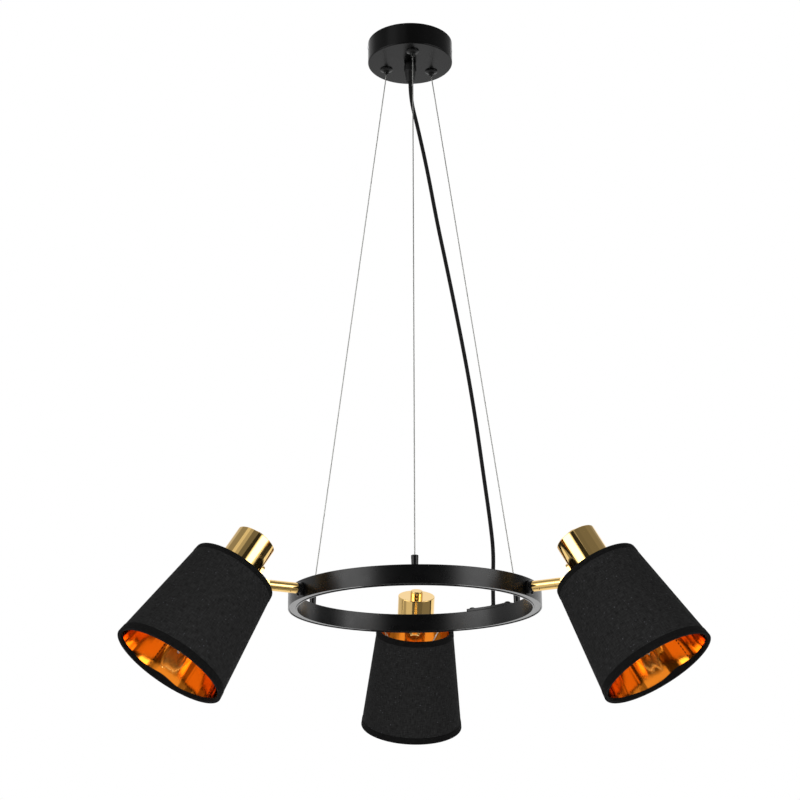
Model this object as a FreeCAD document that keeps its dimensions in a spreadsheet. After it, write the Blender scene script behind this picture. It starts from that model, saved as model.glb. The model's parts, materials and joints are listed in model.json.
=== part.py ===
import FreeCAD, Part
import math
import os
import re
import Sketcher

# Ring pendant lamp with three tilting fabric-shade heads, in millimetres.
# The origin is the centre of the ceiling plate. +Z points up and the lamp hangs below.

SIZES = {
    # canopy and ceiling bracket
    "canopy_radius": 55.1,
    "canopy_height": 29.2,
    "canopy_wall": 1.2,
    "canopy_edge": 1.0,
    "canopy_angle": 5.7,
    "bracket_width": 20.0,
    "bracket_sheet": 2.0,
    "bracket_tab": 14.0,
    "bracket_gap": 0.4,
    "bracket_angle": 7.4,
    "ceiling_pitch_radius": 35.0,
    "ceiling_hole_radius": 2.6,
    "side_screw_depth": 8.0,
    "side_screw_radius": 2.0,
    "side_head_radius": 3.4,
    "side_head": 0.9,
    "block_length": 21.0,
    "block_width": 14.0,
    "block_height": 10.0,
    "block_start": 9.5,
    "block_way_radius": 1.9,
    # wire grippers, cord grip and their lock nuts
    "gripper_pitch_radius": 34.3,
    "gripper_radius": 8.2,
    "gripper_rim": 1.2,
    "gripper_drop": 7.4,
    "nozzle_radius": 2.5,
    "nozzle_length": 2.2,
    "gripper_stem_radius": 3.9,
    "gripper_stem": 8.0,
    "nut_thickness": 3.0,
    "nut_rim": 3.2,
    "grip_radius": 8.0,
    "grip_shoulder_radius": 7.4,
    "grip_shoulder": 3.0,
    "grip_band": 8.5,
    "grip_step": 0.4,
    "grip_ease": 1.0,
    "grip_length": 27.0,
    "grip_tip_radius": 5.0,
    "grip_stem_radius": 4.9,
    "grip_stem": 8.5,
    # steel suspension wires and the supply cord
    "wire_radius": 0.75,
    "wire_tail": 2.0,
    "wire_clearance": 0.12,
    "cord_radius": 2.5,
    "cord_clearance": 0.1,
    "cord_angle": 47.4,
    # ring
    "hang_height": 713.1,
    "ring_radius": 150.0,
    "ring_width": 11.0,
    "ring_height": 21.7,
    "ring_wall": 1.5,
    "strip_sheet": 1.5,
    "strip_inset": 0.8,
    "seat_gap": 0.1,
    "end_gap": 0.3,
    "ferrule_radius": 3.85,
    "ferrule_height": 11.3,
    "ferrule_top_radius": 4.25,
    "ferrule_edge": 0.7,
    "ferrule_floor": 4.0,
    "ferrule_stem_radius": 2.0,
    "ferrule_stem": 3.0,
    "cover_sheet": 3.2,
    "cover_angle": 48.8,
    "cover_half_angle": 13.3,
    "cover_screw_angle": 11.2,
    "cover_head_radius": 4.0,
    "cover_head": 2.3,
    "access_half_angle": 8.0,
    "bush_radius": 3.6,
    "bush_height": 1.5,
    "bush_stem_radius": 3.1,
    "bush_tail": 1.0,
    "loom_radius": 2.0,
    "lead_radius": 1.6,
    "loom_ease": 0.05,
    # collars, arms and knuckles
    "arm_radius": 6.2,
    "arm_wall": 1.0,
    "arm_insert": 2.6,
    "arm_reach": 36.0,
    "swivel_clearance": 0.05,
    "collar_wall": 0.7,
    "collar_rim": 0.45,
    "collar_flange": 2.4,
    "collar_length": 6.5,
    "collar_step": 0.5,
    "collar_tail": 2.7,
    "collar_screw_offset": 4.4,
    "arm_screw_offset": 21.5,
    "arm_screw_angle": 35.0,
    "pivot_reach": 12.0,
    "fork_stem": 26.0,
    "fork_bore": 2.4,
    "fork_inset": 0.6,
    "slot_width": 5.6,
    "slot_floor": 9.0,
    "fork_flat": 5.4,
    "tongue_side_gap": 0.3,
    "tongue_radius": 5.6,
    "pin_radius": 2.0,
    "pin_clearance": 0.05,
    "pin_head_radius": 3.6,
    "pin_head": 1.8,
    # small machine screws
    "screw_radius": 1.5,
    "screw_head_radius": 2.9,
    "screw_head": 1.8,
    "screw_clearance": 0.1,
    "screw_tail": 2.0,
    "grub_proud": 1.6,
    "grub_floor": 1.2,
    # head
    "axis_offset": 36.5,
    "pivot_height": 10.5,
    "cup_radius": 23.9,
    "cup_wall": 1.0,
    "cup_top": 46.5,
    "cup_bottom": 6.0,
    "cup_edge": 0.6,
    "plate_width": 12.0,
    "plate_sheet": 2.0,
    "plate_bottom": 5.5,
    "plate_top": 27.5,
    "plate_screw_at": 22.0,
    "plate_seat": 1.5,
    "finial_radius": 7.9,
    "finial_height": 7.3,
    "finial_edge": 0.7,
    "stud_radius": 5.0,
    "stud_height": 4.0,
    "holder_radius": 13.5,
    "holder_top": 12.0,
    "holder_shoulder": 4.0,
    "holder_wall": 1.2,
    "socket_wall": 2.0,
    "socket_web": 3.0,
    "stud_bore": 3.5,
    "stop_radius": 8.5,
    "stop_height": 3.0,
    "flange_radius": 15.0,
    "flange_height": 2.0,
    "skirt_radius": 12.5,
    "skirt_length": 9.0,
    "skirt_mouth_radius": 11.0,
    "ring_nut_radius": 17.0,
    "ring_nut_height": 5.5,
    "ring_nut_rim": 1.5,
    "ring_nut_step": 1.0,
    # bulb
    "cap_radius": 6.95,
    "bulb_seat": 44.0,
    "cap_top": 26.5,
    "cap_bottom": 1.2,
    "cap_sheet": 0.5,
    "cap_clearance": 0.3,
    "cap_crown": 3.0,
    "cap_button": 1.0,
    "bulb_radius": 17.5,
    "bulb_wall": 0.8,
    "bulb_belly": 36.0,
    "bulb_tip": 72.0,
    "bulb_tip_radius": 1.6,
    "bulb_tip_depth": 0.6,
    "bulb_neck": 5.0,
    "bulb_neck_gap": 0.2,
    "filament_reach": 7.6,
    "filament_depth": 10.5,
    "filament_sag": 2.4,
    "filament_wire": 0.35,
    "stem_tip": 8.0,
    "stem_tip_radius": 1.2,
    # shade
    "shade_top_radius": 50.5,
    "shade_mouth_radius": 66.8,
    "shade_height": 133.0,
    "shade_wall": 1.2,
    "trim_proud": 0.4,
    "trim_top": 6.5,
    "trim_bottom": 8.5,
    "hem_lip": 4.5,
    "hem_sheet": 0.6,
    "frame_wire": 1.2,
    "lining_sheet": 0.3,
    "lining_gap": 0.1,
    "lining_end": 3.7,
    "spider_angle": 72.0,
    "spider_depth": 42.0,
    "spider_wire": 1.0,
    "hub_rim": 18.0,
    "hub_sheet": 2.0,
    "slot_clearance": 0.3,
    # rest pose of each head
    "tilt_angle_left": 33.1,
    "tilt_angle_right": 30.0,
    "tilt_angle_back": 29.3,
    "roll_angle_left": -2.9,
    "roll_angle_right": 2.0,
    "roll_angle_back": 3.0,
}

HEADS = {"left": 210.0, "right": 330.0, "back": 90.0}
# the arm's small set screw faces down and to the front on each side
ARM_SCREW_SIDES = {"left": 1, "right": -1, "back": 1}
WIRE_AZIMUTHS = (270.0, 150.0, 30.0)

# Route of the supply cord: distance from the lamp's centre line and height, chosen from the hang.
CORD_ROUTE = [
    (0.0, -56.2), (0.0, -79.3), (13.3, -115.3), (31.0, -170.3), (48.8, -238.8),
    (66.5, -296.3), (86.5, -365.4), (105.0, -434.3), (119.5, -499.3), (131.5, -564.3),
    (141.6, -617.3), (147.5, -659.3), (144.5, -698.8), (144.5, -726.75),
]
ARC_SHARE = 0.45

doc = FreeCAD.newDocument("ring_pendant")
sheet = doc.addObject("Spreadsheet::Sheet", "sizes")
for row, (alias, number) in enumerate(SIZES.items(), start=1):
    sheet.set(f"A{row}", alias)
    sheet.set(f"B{row}", str(number))
    sheet.setAlias(f"B{row}", alias)
doc.recompute()

subparts = []


def size(alias):
    return float(sheet.get(alias))


def bind(text):
    """Points every size named in an expression at the sheet."""
    return re.sub(r"[a-z][a-z_]*", lambda word: f"sizes.{word[0]}" if word[0] in SIZES else word[0], text)


def drive(item, **sizes):
    for name, text in sizes.items():
        item.setExpression(name, bind(text))
    return item


# Placements as expressions, read from left to right

def shift(x="0", y="0", z="0"):
    return f"placement(vector({x}; {y}; {z}); rotation(vector(0; 0; 1); 0))"


def turn(axis, angle):
    direction = {"x": "1; 0; 0", "y": "0; 1; 0", "z": "0; 0; 1"}[axis]
    return f"placement(vector(0; 0; 0); rotation(vector({direction}); {angle}))"


def chain(*steps):
    return " * ".join(steps)


def put(item, *steps):
    item.setExpression("Placement", bind(chain(*steps)))
    return item


def subpart(label, item):
    """Marks an object as one of the lamp's sub-parts and gives it its name."""
    item.Label = label
    subparts.append(item)
    return item


# Solids

def outline_sketch(body, role, corners):
    """A closed outline on one of the body's own planes, each corner tied to the sheet."""
    sketch = body.newObject("Sketcher::SketchObject", "outline")
    plane = [feature for feature in body.Origin.OriginFeatures if feature.Role == role][0]
    sketch.AttachmentSupport = [(plane, "")]
    sketch.MapMode = "FlatFace"
    count = len(corners)
    rough = [FreeCAD.Vector(30 + 10 * math.cos(2 * math.pi * k / count),
                            10 * math.sin(2 * math.pi * k / count), 0) for k in range(count)]
    for k in range(count):
        sketch.addGeometry(Part.LineSegment(rough[k], rough[(k + 1) % count]))
    for k, (across, along) in enumerate(corners):
        sketch.addConstraint(Sketcher.Constraint("Coincident", (k - 1) % count, 2, k, 1))
        for kind, text in (("DistanceX", across), ("DistanceY", along)):
            index = sketch.addConstraint(Sketcher.Constraint(kind, -1, 1, k, 1, 1.0))
            sketch.setExpression(f"Constraints[{index}]", bind(text))
    return sketch


def turned(name, corners, angle="360", midplane=False):
    """A body turned about Z from corners given as (radius, height)."""
    body = doc.addObject("PartDesign::Body", name)
    sketch = outline_sketch(body, "XZ_Plane", corners)
    revolution = body.newObject("PartDesign::Revolution", "turn")
    revolution.Profile = sketch
    revolution.ReferenceAxis = (sketch, ["V_Axis"])
    revolution.Midplane = midplane
    drive(revolution, Angle=angle)
    return body


def padded(name, role, corners, length):
    """A plate padded evenly to both sides of one of the body's planes."""
    body = doc.addObject("PartDesign::Body", name)
    pad = body.newObject("PartDesign::Pad", "pad")
    pad.Profile = outline_sketch(body, role, corners)
    pad.Midplane = True
    drive(pad, Length=length)
    return body


def cylinder(radius, height, *steps):
    item = drive(doc.addObject("Part::Cylinder", "cylinder"), Radius=radius, Height=height)
    return put(item, *steps) if steps else item


def box(length, width, height, *steps):
    item = drive(doc.addObject("Part::Box", "block"), Length=length, Width=width, Height=height)
    return put(item, *steps) if steps else item


def torus(radius, wire, *steps):
    item = drive(doc.addObject("Part::Torus", "loop"), Radius1=radius, Radius2=wire)
    return put(item, *steps) if steps else item


def cut(base, *tools):
    item = doc.addObject("Part::Cut", "cut")
    item.Base = base
    item.Tool = tools[0] if len(tools) == 1 else fused(*tools)
    return item


def fused(*pieces):
    item = doc.addObject("Part::MultiFuse", "joined")
    item.Shapes = list(pieces)
    return item


def group(*pieces):
    item = doc.addObject("Part::Compound", "group")
    item.Links = list(pieces)
    return item


def made(name, shape):
    item = doc.addObject("Part::Feature", name)
    item.Shape = shape
    return item


def rod(points, radius):
    """A round rod along straight runs, with a ball at each bend."""
    pieces = []
    for start, end in zip(points, points[1:]):
        pieces.append(Part.makeCylinder(radius, start.distanceToPoint(end), start, end - start))
    for point in points[1:-1]:
        pieces.append(Part.makeSphere(radius, point))
    return pieces[0].fuse(pieces[1:]).removeSplitter() if len(pieces) > 1 else pieces[0]


def hex_nut(width_radius, bore, thickness):
    prism = drive(doc.addObject("Part::Prism", "hex"), Circumradius=width_radius, Height=thickness)
    prism.Polygon = 6
    return cut(prism, cylinder(bore, thickness))


def dome_screw(shank, kind="screw"):
    """A dome-head screw, its head's seat at height 0 and its shank going down."""
    wide, high = f"{kind}_head_radius", f"{kind}_head"
    radius = "side_screw_radius" if kind == "side" else "screw_radius"
    return turned("dome_screw", [
        ("0", high), (f"{wide} * 0.55", f"{high} * 0.85"), (f"{wide} * 0.88", f"{high} * 0.5"), (wide, "0"),
        (radius, "0"), (radius, f"-({shank})"), ("0", f"-({shank})")])


CANOPY_FLOOR = "-canopy_height"
RING_LEVEL = "-(canopy_height + hang_height)"
RING_TOP = "ring_height / 2"
RING_MIDDLE = "(ring_radius - ring_width / 2)"
CANOPY = turn("z", "canopy_angle")
COLLAR_STEM = "(arm_radius + swivel_clearance + collar_wall)"
COLLAR_RADIUS = "(arm_radius + swivel_clearance + collar_wall + collar_rim)"
SHOULDER = "(ring_radius + arm_reach)"
PIVOT = "(ring_radius + arm_reach + pivot_reach)"
CHEEK = "(arm_radius - fork_inset)"


def ring_at(azimuth="0"):
    return chain(shift(z=RING_LEVEL), turn("z", azimuth))


def arm_axis(side):
    """Local Z runs out along the arm, and local X points down."""
    return chain(ring_at(HEADS[side]), turn("y", "90"))


def arm_frame(side):
    """The arm's axis, rolled in its collar as the arm is at rest."""
    return chain(arm_axis(side), turn("z", f"roll_angle_{side}"))


def head_frame(side):
    """Local Z is the head's axis and X points away from the ring; the origin is the pivot."""
    return chain(ring_at(HEADS[side]), shift(x=PIVOT),
                 turn("x", f"roll_angle_{side}"), turn("y", f"-tilt_angle_{side}"))


def lamp_frame(side):
    """The head's frame moved to the centre of the shade's top opening."""
    return chain(head_frame(side), shift(x="axis_offset", z="-pivot_height"))


# Ceiling bracket, canopy and what they hold

def ceiling_parts():
    hole_at = chain(turn("z", "bracket_angle"))
    reach = "(canopy_radius - canopy_wall - bracket_gap)"
    strip = padded("strip", "XZ_Plane", [
        (f"-{reach}", "0"), (reach, "0"), (reach, "-bracket_tab"),
        (f"{reach} - bracket_sheet", "-bracket_tab"), (f"{reach} - bracket_sheet", "-bracket_sheet"),
        (f"-({reach} - bracket_sheet)", "-bracket_sheet"), (f"-({reach} - bracket_sheet)", "-bracket_tab"),
        (f"-{reach}", "-bracket_tab")], "bracket_width")
    corner_cut = cylinder("canopy_radius - canopy_wall - bracket_gap", "bracket_tab", shift(z="-bracket_tab"))
    trimmed = doc.addObject("Part::Common", "trimmed")
    trimmed.Base = strip
    trimmed.Tool = corner_cut
    holes = [cylinder("ceiling_hole_radius", "bracket_sheet * 3",
                      shift(x=f"{sign} * ceiling_pitch_radius", z="-bracket_sheet * 2")) for sign in (-1, 1)]
    holes.append(cylinder("grip_stem_radius", "bracket_sheet * 3", shift(z="-bracket_sheet * 2")))
    holes.append(cylinder("side_screw_radius + screw_clearance", "canopy_radius * 2",
                          shift(x="-canopy_radius", z="-side_screw_depth"), turn("y", "90")))
    subpart("ceiling_bracket", put(cut(trimmed, *holes), hole_at))

    shell = turned("shell", [
        ("0", CANOPY_FLOOR), ("canopy_radius - canopy_edge", CANOPY_FLOOR),
        ("canopy_radius", f"{CANOPY_FLOOR} + canopy_edge"), ("canopy_radius", "0"),
        ("canopy_radius - canopy_wall", "0"),
        ("canopy_radius - canopy_wall", f"{CANOPY_FLOOR} + canopy_wall"),
        ("0", f"{CANOPY_FLOOR} + canopy_wall")])
    below = f"{CANOPY_FLOOR} - canopy_wall"
    openings = [cylinder("gripper_stem_radius + seat_gap", "canopy_wall * 3", turn("z", azimuth), CANOPY,
                         shift(x="gripper_pitch_radius", z=below)) for azimuth in WIRE_AZIMUTHS]
    openings.append(cylinder("grip_stem_radius + seat_gap", "canopy_wall * 3", shift(z=below)))
    openings.append(cylinder("side_screw_radius + screw_clearance", "canopy_radius * 2.2", hole_at,
                             shift(x="-canopy_radius * 1.1", z="-side_screw_depth"), turn("y", "90")))
    subpart("canopy", cut(shell, *openings))

    fasteners = []
    for facing in ("90", "-90"):
        screw = dome_screw("canopy_wall + bracket_gap + bracket_sheet + screw_tail", "side")
        fasteners.append(put(screw, hole_at, shift(z="-side_screw_depth"), turn("y", facing),
                             shift(z="canopy_radius")))
    floor = f"{CANOPY_FLOOR} + canopy_wall"
    for azimuth in WIRE_AZIMUTHS:
        nut = hex_nut("gripper_stem_radius + nut_rim", "gripper_stem_radius + seat_gap", "nut_thickness")
        fasteners.append(put(nut, turn("z", azimuth), CANOPY, shift(x="gripper_pitch_radius", z=floor)))
    nut = hex_nut("grip_stem_radius + nut_rim", "grip_stem_radius + seat_gap", "nut_thickness")
    fasteners.append(put(nut, shift(z=floor)))
    subpart("canopy_fasteners", group(*fasteners))

    block = box("block_length", "block_width", "block_height",
                shift(x="block_start", y="-block_width / 2", z="-(block_height + bracket_sheet)"))
    ways = [cylinder("block_way_radius", "block_length * 1.2",
                     shift(x="block_start - block_length * 0.1", y=f"{side} * block_width / 4",
                           z="-(block_height / 2 + bracket_sheet)"), turn("y", "90")) for side in (-1, 1)]
    subpart("terminal_block", put(cut(block, *ways), hole_at))

    grippers = []
    for azimuth in WIRE_AZIMUTHS:
        gripper = turned("gripper", [
            ("wire_radius + wire_clearance", "-gripper_drop"), ("nozzle_radius", "-gripper_drop"),
            ("nozzle_radius", "-(gripper_drop - nozzle_length)"),
            ("gripper_radius * 0.7", "-gripper_rim * 1.8"), ("gripper_radius", "-gripper_rim"),
            ("gripper_radius", "0"), ("gripper_stem_radius", "0"),
            ("gripper_stem_radius", "gripper_stem"), ("wire_radius + wire_clearance", "gripper_stem")])
        grippers.append(put(gripper, turn("z", azimuth), CANOPY,
                            shift(x="gripper_pitch_radius", z=CANOPY_FLOOR)))
    subpart("wire_grippers", group(*grippers))

    bore = "cord_radius + cord_clearance"
    band_end = "-(grip_shoulder + grip_band)"
    grip = turned("grip", [
        (bore, "-grip_length"), ("grip_tip_radius", "-grip_length"),
        ("grip_shoulder_radius - grip_step", f"{band_end} - grip_ease"), ("grip_radius", band_end),
        ("grip_radius", "-grip_shoulder"), ("grip_shoulder_radius", "-grip_shoulder"),
        ("grip_shoulder_radius", "0"), ("grip_stem_radius", "0"), ("grip_stem_radius", "grip_stem"),
        (bore, "grip_stem")])
    subpart("cord_grip", put(grip, shift(z=CANOPY_FLOOR)))


# Suspension wires, each one whole from its gripper to its ferrule

def suspension_wires():
    wires = []
    floor = -size("canopy_height")
    ring_top = floor - size("hang_height") + size("ring_height") / 2
    heights = (floor + size("gripper_stem") + size("wire_tail"), floor - size("gripper_drop"),
               ring_top + size("ferrule_height"), ring_top + size("ferrule_floor") + size("end_gap"))
    for azimuth in WIRE_AZIMUTHS:
        above = FreeCAD.Rotation(FreeCAD.Vector(0, 0, 1), azimuth + size("canopy_angle"))
        below = FreeCAD.Rotation(FreeCAD.Vector(0, 0, 1), azimuth)
        top = above.multVec(FreeCAD.Vector(size("gripper_pitch_radius"), 0, 0))
        foot = below.multVec(FreeCAD.Vector(size("ring_radius") - size("ring_width") / 2, 0, 0))
        points = [FreeCAD.Vector(spot.x, spot.y, height)
                  for spot, height in zip((top, top, foot, foot), heights)]
        wires.append(made("wire", rod(points, size("wire_radius"))))
    subpart("suspension_wires", group(*wires))


def cord_path(points):
    """Straight runs joined by tangent arcs, each arc as large as its two runs allow."""
    runs = [(end - start).Length for start, end in zip(points, points[1:])]
    edges = []
    start = points[0]
    radii = []
    for k in range(1, len(points) - 1):
        back = (points[k - 1] - points[k]).normalize()
        ahead = (points[k + 1] - points[k]).normalize()
        half_turn = (math.pi - back.getAngle(ahead)) / 2
        reach = ARC_SHARE * min(runs[k - 1], runs[k])
        radius = reach / math.tan(half_turn)
        radii.append(radius)
        first = points[k] + back * reach
        last = points[k] + ahead * reach
        inward = (back + ahead).normalize()
        middle = points[k] + inward * (radius / math.cos(half_turn) - radius)
        edges.append(Part.LineSegment(start, first).toShape())
        edges.append(Part.Arc(first, middle, last).toShape())
        start = last
    edges.append(Part.LineSegment(start, points[-1]).toShape())
    return Part.Wire(edges), radii


def power_cord():
    """The free supply cord, from the grip below the canopy to the bush on the ring."""
    bearing = FreeCAD.Rotation(FreeCAD.Vector(0, 0, 1), size("cord_angle"))
    points = [bearing.multVec(FreeCAD.Vector(out, 0, height)) for out, height in CORD_ROUTE]
    path, radii = cord_path(points)
    circle = Part.Circle(points[0], points[0] - points[1], size("cord_radius")).toShape()
    tube = path.makePipeShell([Part.Wire([circle])], True, False)
    plain_volume = math.pi * size("cord_radius") ** 2 * path.Length
    print("cord length", round(path.Length, 1), "volume share", round(tube.Volume / plain_volume, 5))
    print("cord radii", [round(radius) for radius in radii])
    subpart("power_cord", made("cord", tube))


# Ring

def ring_parts():
    inner = "ring_radius - ring_width"
    top = RING_TOP
    channel = turned("channel", [
        (inner, f"-{top}"), (f"{inner} + ring_wall", f"-{top}"),
        (f"{inner} + ring_wall", f"{top} - ring_wall"),
        ("ring_radius - ring_wall", f"{top} - ring_wall"), ("ring_radius - ring_wall", f"-{top}"),
        ("ring_radius", f"-{top}"), ("ring_radius", top), (inner, top)])
    through = f"{top} - ring_wall * 2"
    openings = [cylinder("ferrule_stem_radius + seat_gap", "ring_wall * 3", turn("z", azimuth),
                         shift(x=RING_MIDDLE, z=through)) for azimuth in WIRE_AZIMUTHS]
    for azimuth in HEADS.values():
        openings.append(cylinder(f"{COLLAR_STEM} + seat_gap", "ring_wall * 3",
                                 turn("z", azimuth), shift(x="ring_radius - ring_wall * 2"), turn("y", "90")))
    for side in (-1, 1):
        openings.append(cylinder("screw_radius + screw_clearance", "ring_wall * 3",
                                 turn("z", f"cover_angle + {side} * cover_screw_angle"),
                                 shift(x=RING_MIDDLE, z=through)))
    half = "(bush_stem_radius + seat_gap)"
    slot = turned("access", [
        (f"{RING_MIDDLE} - {half}", through), (f"{RING_MIDDLE} + {half}", through),
        (f"{RING_MIDDLE} + {half}", f"{top} + ring_wall"),
        (f"{RING_MIDDLE} - {half}", f"{top} + ring_wall")], "access_half_angle * 2", True)
    openings.append(put(slot, turn("z", "cover_angle")))
    subpart("ring_channel", put(cut(channel, *openings), ring_at()))

    low = f"-{top} + strip_inset"
    strip = turned("strip", [
        (f"{inner} + ring_wall + seat_gap", low), ("ring_radius - ring_wall - seat_gap", low),
        ("ring_radius - ring_wall - seat_gap", f"{low} + strip_sheet"),
        (f"{inner} + ring_wall + seat_gap", f"{low} + strip_sheet")])
    subpart("ring_cover_strip", put(strip, ring_at()))

    ferrules = []
    for azimuth in WIRE_AZIMUTHS:
        ferrule = turned("ferrule", [
            ("0", "ferrule_floor"), ("wire_radius + wire_clearance", "ferrule_floor"),
            ("wire_radius + wire_clearance", "ferrule_height"),
            ("ferrule_top_radius - ferrule_edge", "ferrule_height"),
            ("ferrule_top_radius", "ferrule_height - ferrule_edge"), ("ferrule_radius", "0"),
            ("ferrule_stem_radius", "0"), ("ferrule_stem_radius", "-ferrule_stem"), ("0", "-ferrule_stem")])
        ferrules.append(put(ferrule, ring_at(azimuth), shift(x=RING_MIDDLE, z=top)))
    subpart("wire_ferrules", group(*ferrules))

    plate = turned("plate", [
        (f"{inner} + seat_gap", "0"), ("ring_radius - seat_gap", "0"),
        ("ring_radius - seat_gap", "cover_sheet"), (f"{inner} + seat_gap", "cover_sheet")],
        "cover_half_angle * 2", True)
    plate_holes = [cylinder("screw_radius + screw_clearance", "cover_sheet * 3",
                            turn("z", f"{side} * cover_screw_angle"),
                            shift(x=RING_MIDDLE, z="-cover_sheet")) for side in (-1, 1)]
    plate_holes.append(cylinder("bush_stem_radius + seat_gap", "cover_sheet * 3",
                                turn("z", "cord_angle - cover_angle"),
                                shift(x=RING_MIDDLE, z="-cover_sheet")))
    subpart("junction_cover", put(cut(plate, *plate_holes), ring_at("cover_angle"), shift(z=top)))

    bore = "cord_radius + cord_clearance"
    bush = turned("bush", [
        (bore, "-(cover_sheet + bush_tail)"), ("bush_stem_radius", "-(cover_sheet + bush_tail)"),
        ("bush_stem_radius", "0"), ("bush_radius", "0"), ("bush_radius", "bush_height / 2"),
        ("bush_stem_radius", "bush_height"), (bore, "bush_height")])
    subpart("cord_bush", put(bush, ring_at("cord_angle"), shift(x=RING_MIDDLE, z=f"{top} + cover_sheet")))

    screws = []
    for side in (-1, 1):
        screws.append(put(dome_screw("cover_sheet + ring_wall + screw_tail", "cover"),
                          ring_at(f"cover_angle + {side} * cover_screw_angle"),
                          shift(x=RING_MIDDLE, z=f"{top} + cover_sheet")))
    seat = "arm_radius + swivel_clearance * 2"
    for side in HEADS:
        grub = cylinder("screw_radius", f"{COLLAR_RADIUS} + grub_proud - ({seat})", arm_axis(side),
                        shift(z="ring_radius + collar_screw_offset"), turn("y", "90"), shift(z=seat))
        screws.append(grub)
    subpart("ring_screws", group(*screws))


def inner_wiring():
    """The cable through the canopy, the cable below the bush, the loom and a lead into each arm."""
    ring_level = -size("canopy_height") - size("hang_height")
    middle = size("ring_radius") - size("ring_width") / 2
    up = FreeCAD.Vector(0, 0, 1)
    bracket = FreeCAD.Rotation(up, size("bracket_angle"))
    grip_end = -size("canopy_height") - size("grip_length") + size("end_gap")
    block_level = -(size("block_height") / 2 + size("bracket_sheet"))
    entry = bracket.multVec(FreeCAD.Vector(size("block_start") - 0.2, 0, block_level))
    bend = FreeCAD.Vector(0, 0, block_level - 3)
    ease = bracket.multVec(FreeCAD.Vector(3, 0, block_level))
    canopy_lead = rod([FreeCAD.Vector(0, 0, grip_end), bend, ease, entry], size("cord_radius"))
    pieces = [made("canopy_lead", canopy_lead)]

    bush_top = ring_level + size("ring_height") / 2 + size("cover_sheet") + size("bush_height")
    spot = FreeCAD.Rotation(up, size("cord_angle")).multVec(FreeCAD.Vector(middle, 0, 0))
    drop = rod([spot + up * (bush_top - size("end_gap")), spot + up * ring_level],
               size("cord_radius") - size("loom_ease"))
    first, last = HEADS["right"] - 360, HEADS["left"]
    centre = FreeCAD.Vector(0, 0, ring_level)
    loom = Part.makeTorus(middle, size("loom_radius"), centre, up, -180, 180, last - first)
    loom.rotate(centre, up, first)
    shape = drop.fuse(loom)
    fork_floor = size("ring_radius") + size("arm_reach") + size("pivot_reach") - size("slot_floor")
    for azimuth in HEADS.values():
        outward = FreeCAD.Rotation(up, azimuth).multVec(FreeCAD.Vector(1, 0, 0))
        start = outward * middle + up * ring_level
        end = outward * (fork_floor - size("end_gap")) + up * ring_level
        shape = shape.fuse(rod([start, end], size("lead_radius")))
    pieces.append(made("ring_loom", shape.removeSplitter()))
    subpart("inner_wiring", group(*pieces))


def collar(side):
    bore = "arm_radius + swivel_clearance"
    face = "ring_radius"
    end = f"{face} + collar_length"
    ring = turned("collar", [
        (bore, f"{face} - collar_tail"), (COLLAR_STEM, f"{face} - collar_tail"), (COLLAR_STEM, face),
        (COLLAR_RADIUS, face), (COLLAR_RADIUS, f"{face} + collar_flange"),
        (f"{COLLAR_RADIUS} - collar_step", f"{face} + collar_flange"),
        (f"{COLLAR_RADIUS} - collar_step", end), (bore, end)])
    hole = cylinder("screw_radius + seat_gap / 2", f"{COLLAR_RADIUS} * 2",
                    shift(z=f"{face} + collar_screw_offset"), turn("y", "90"))
    subpart(f"collar_{side}", put(cut(ring, hole), arm_axis(side)))


# Arms: everything that swivels in a collar

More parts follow.
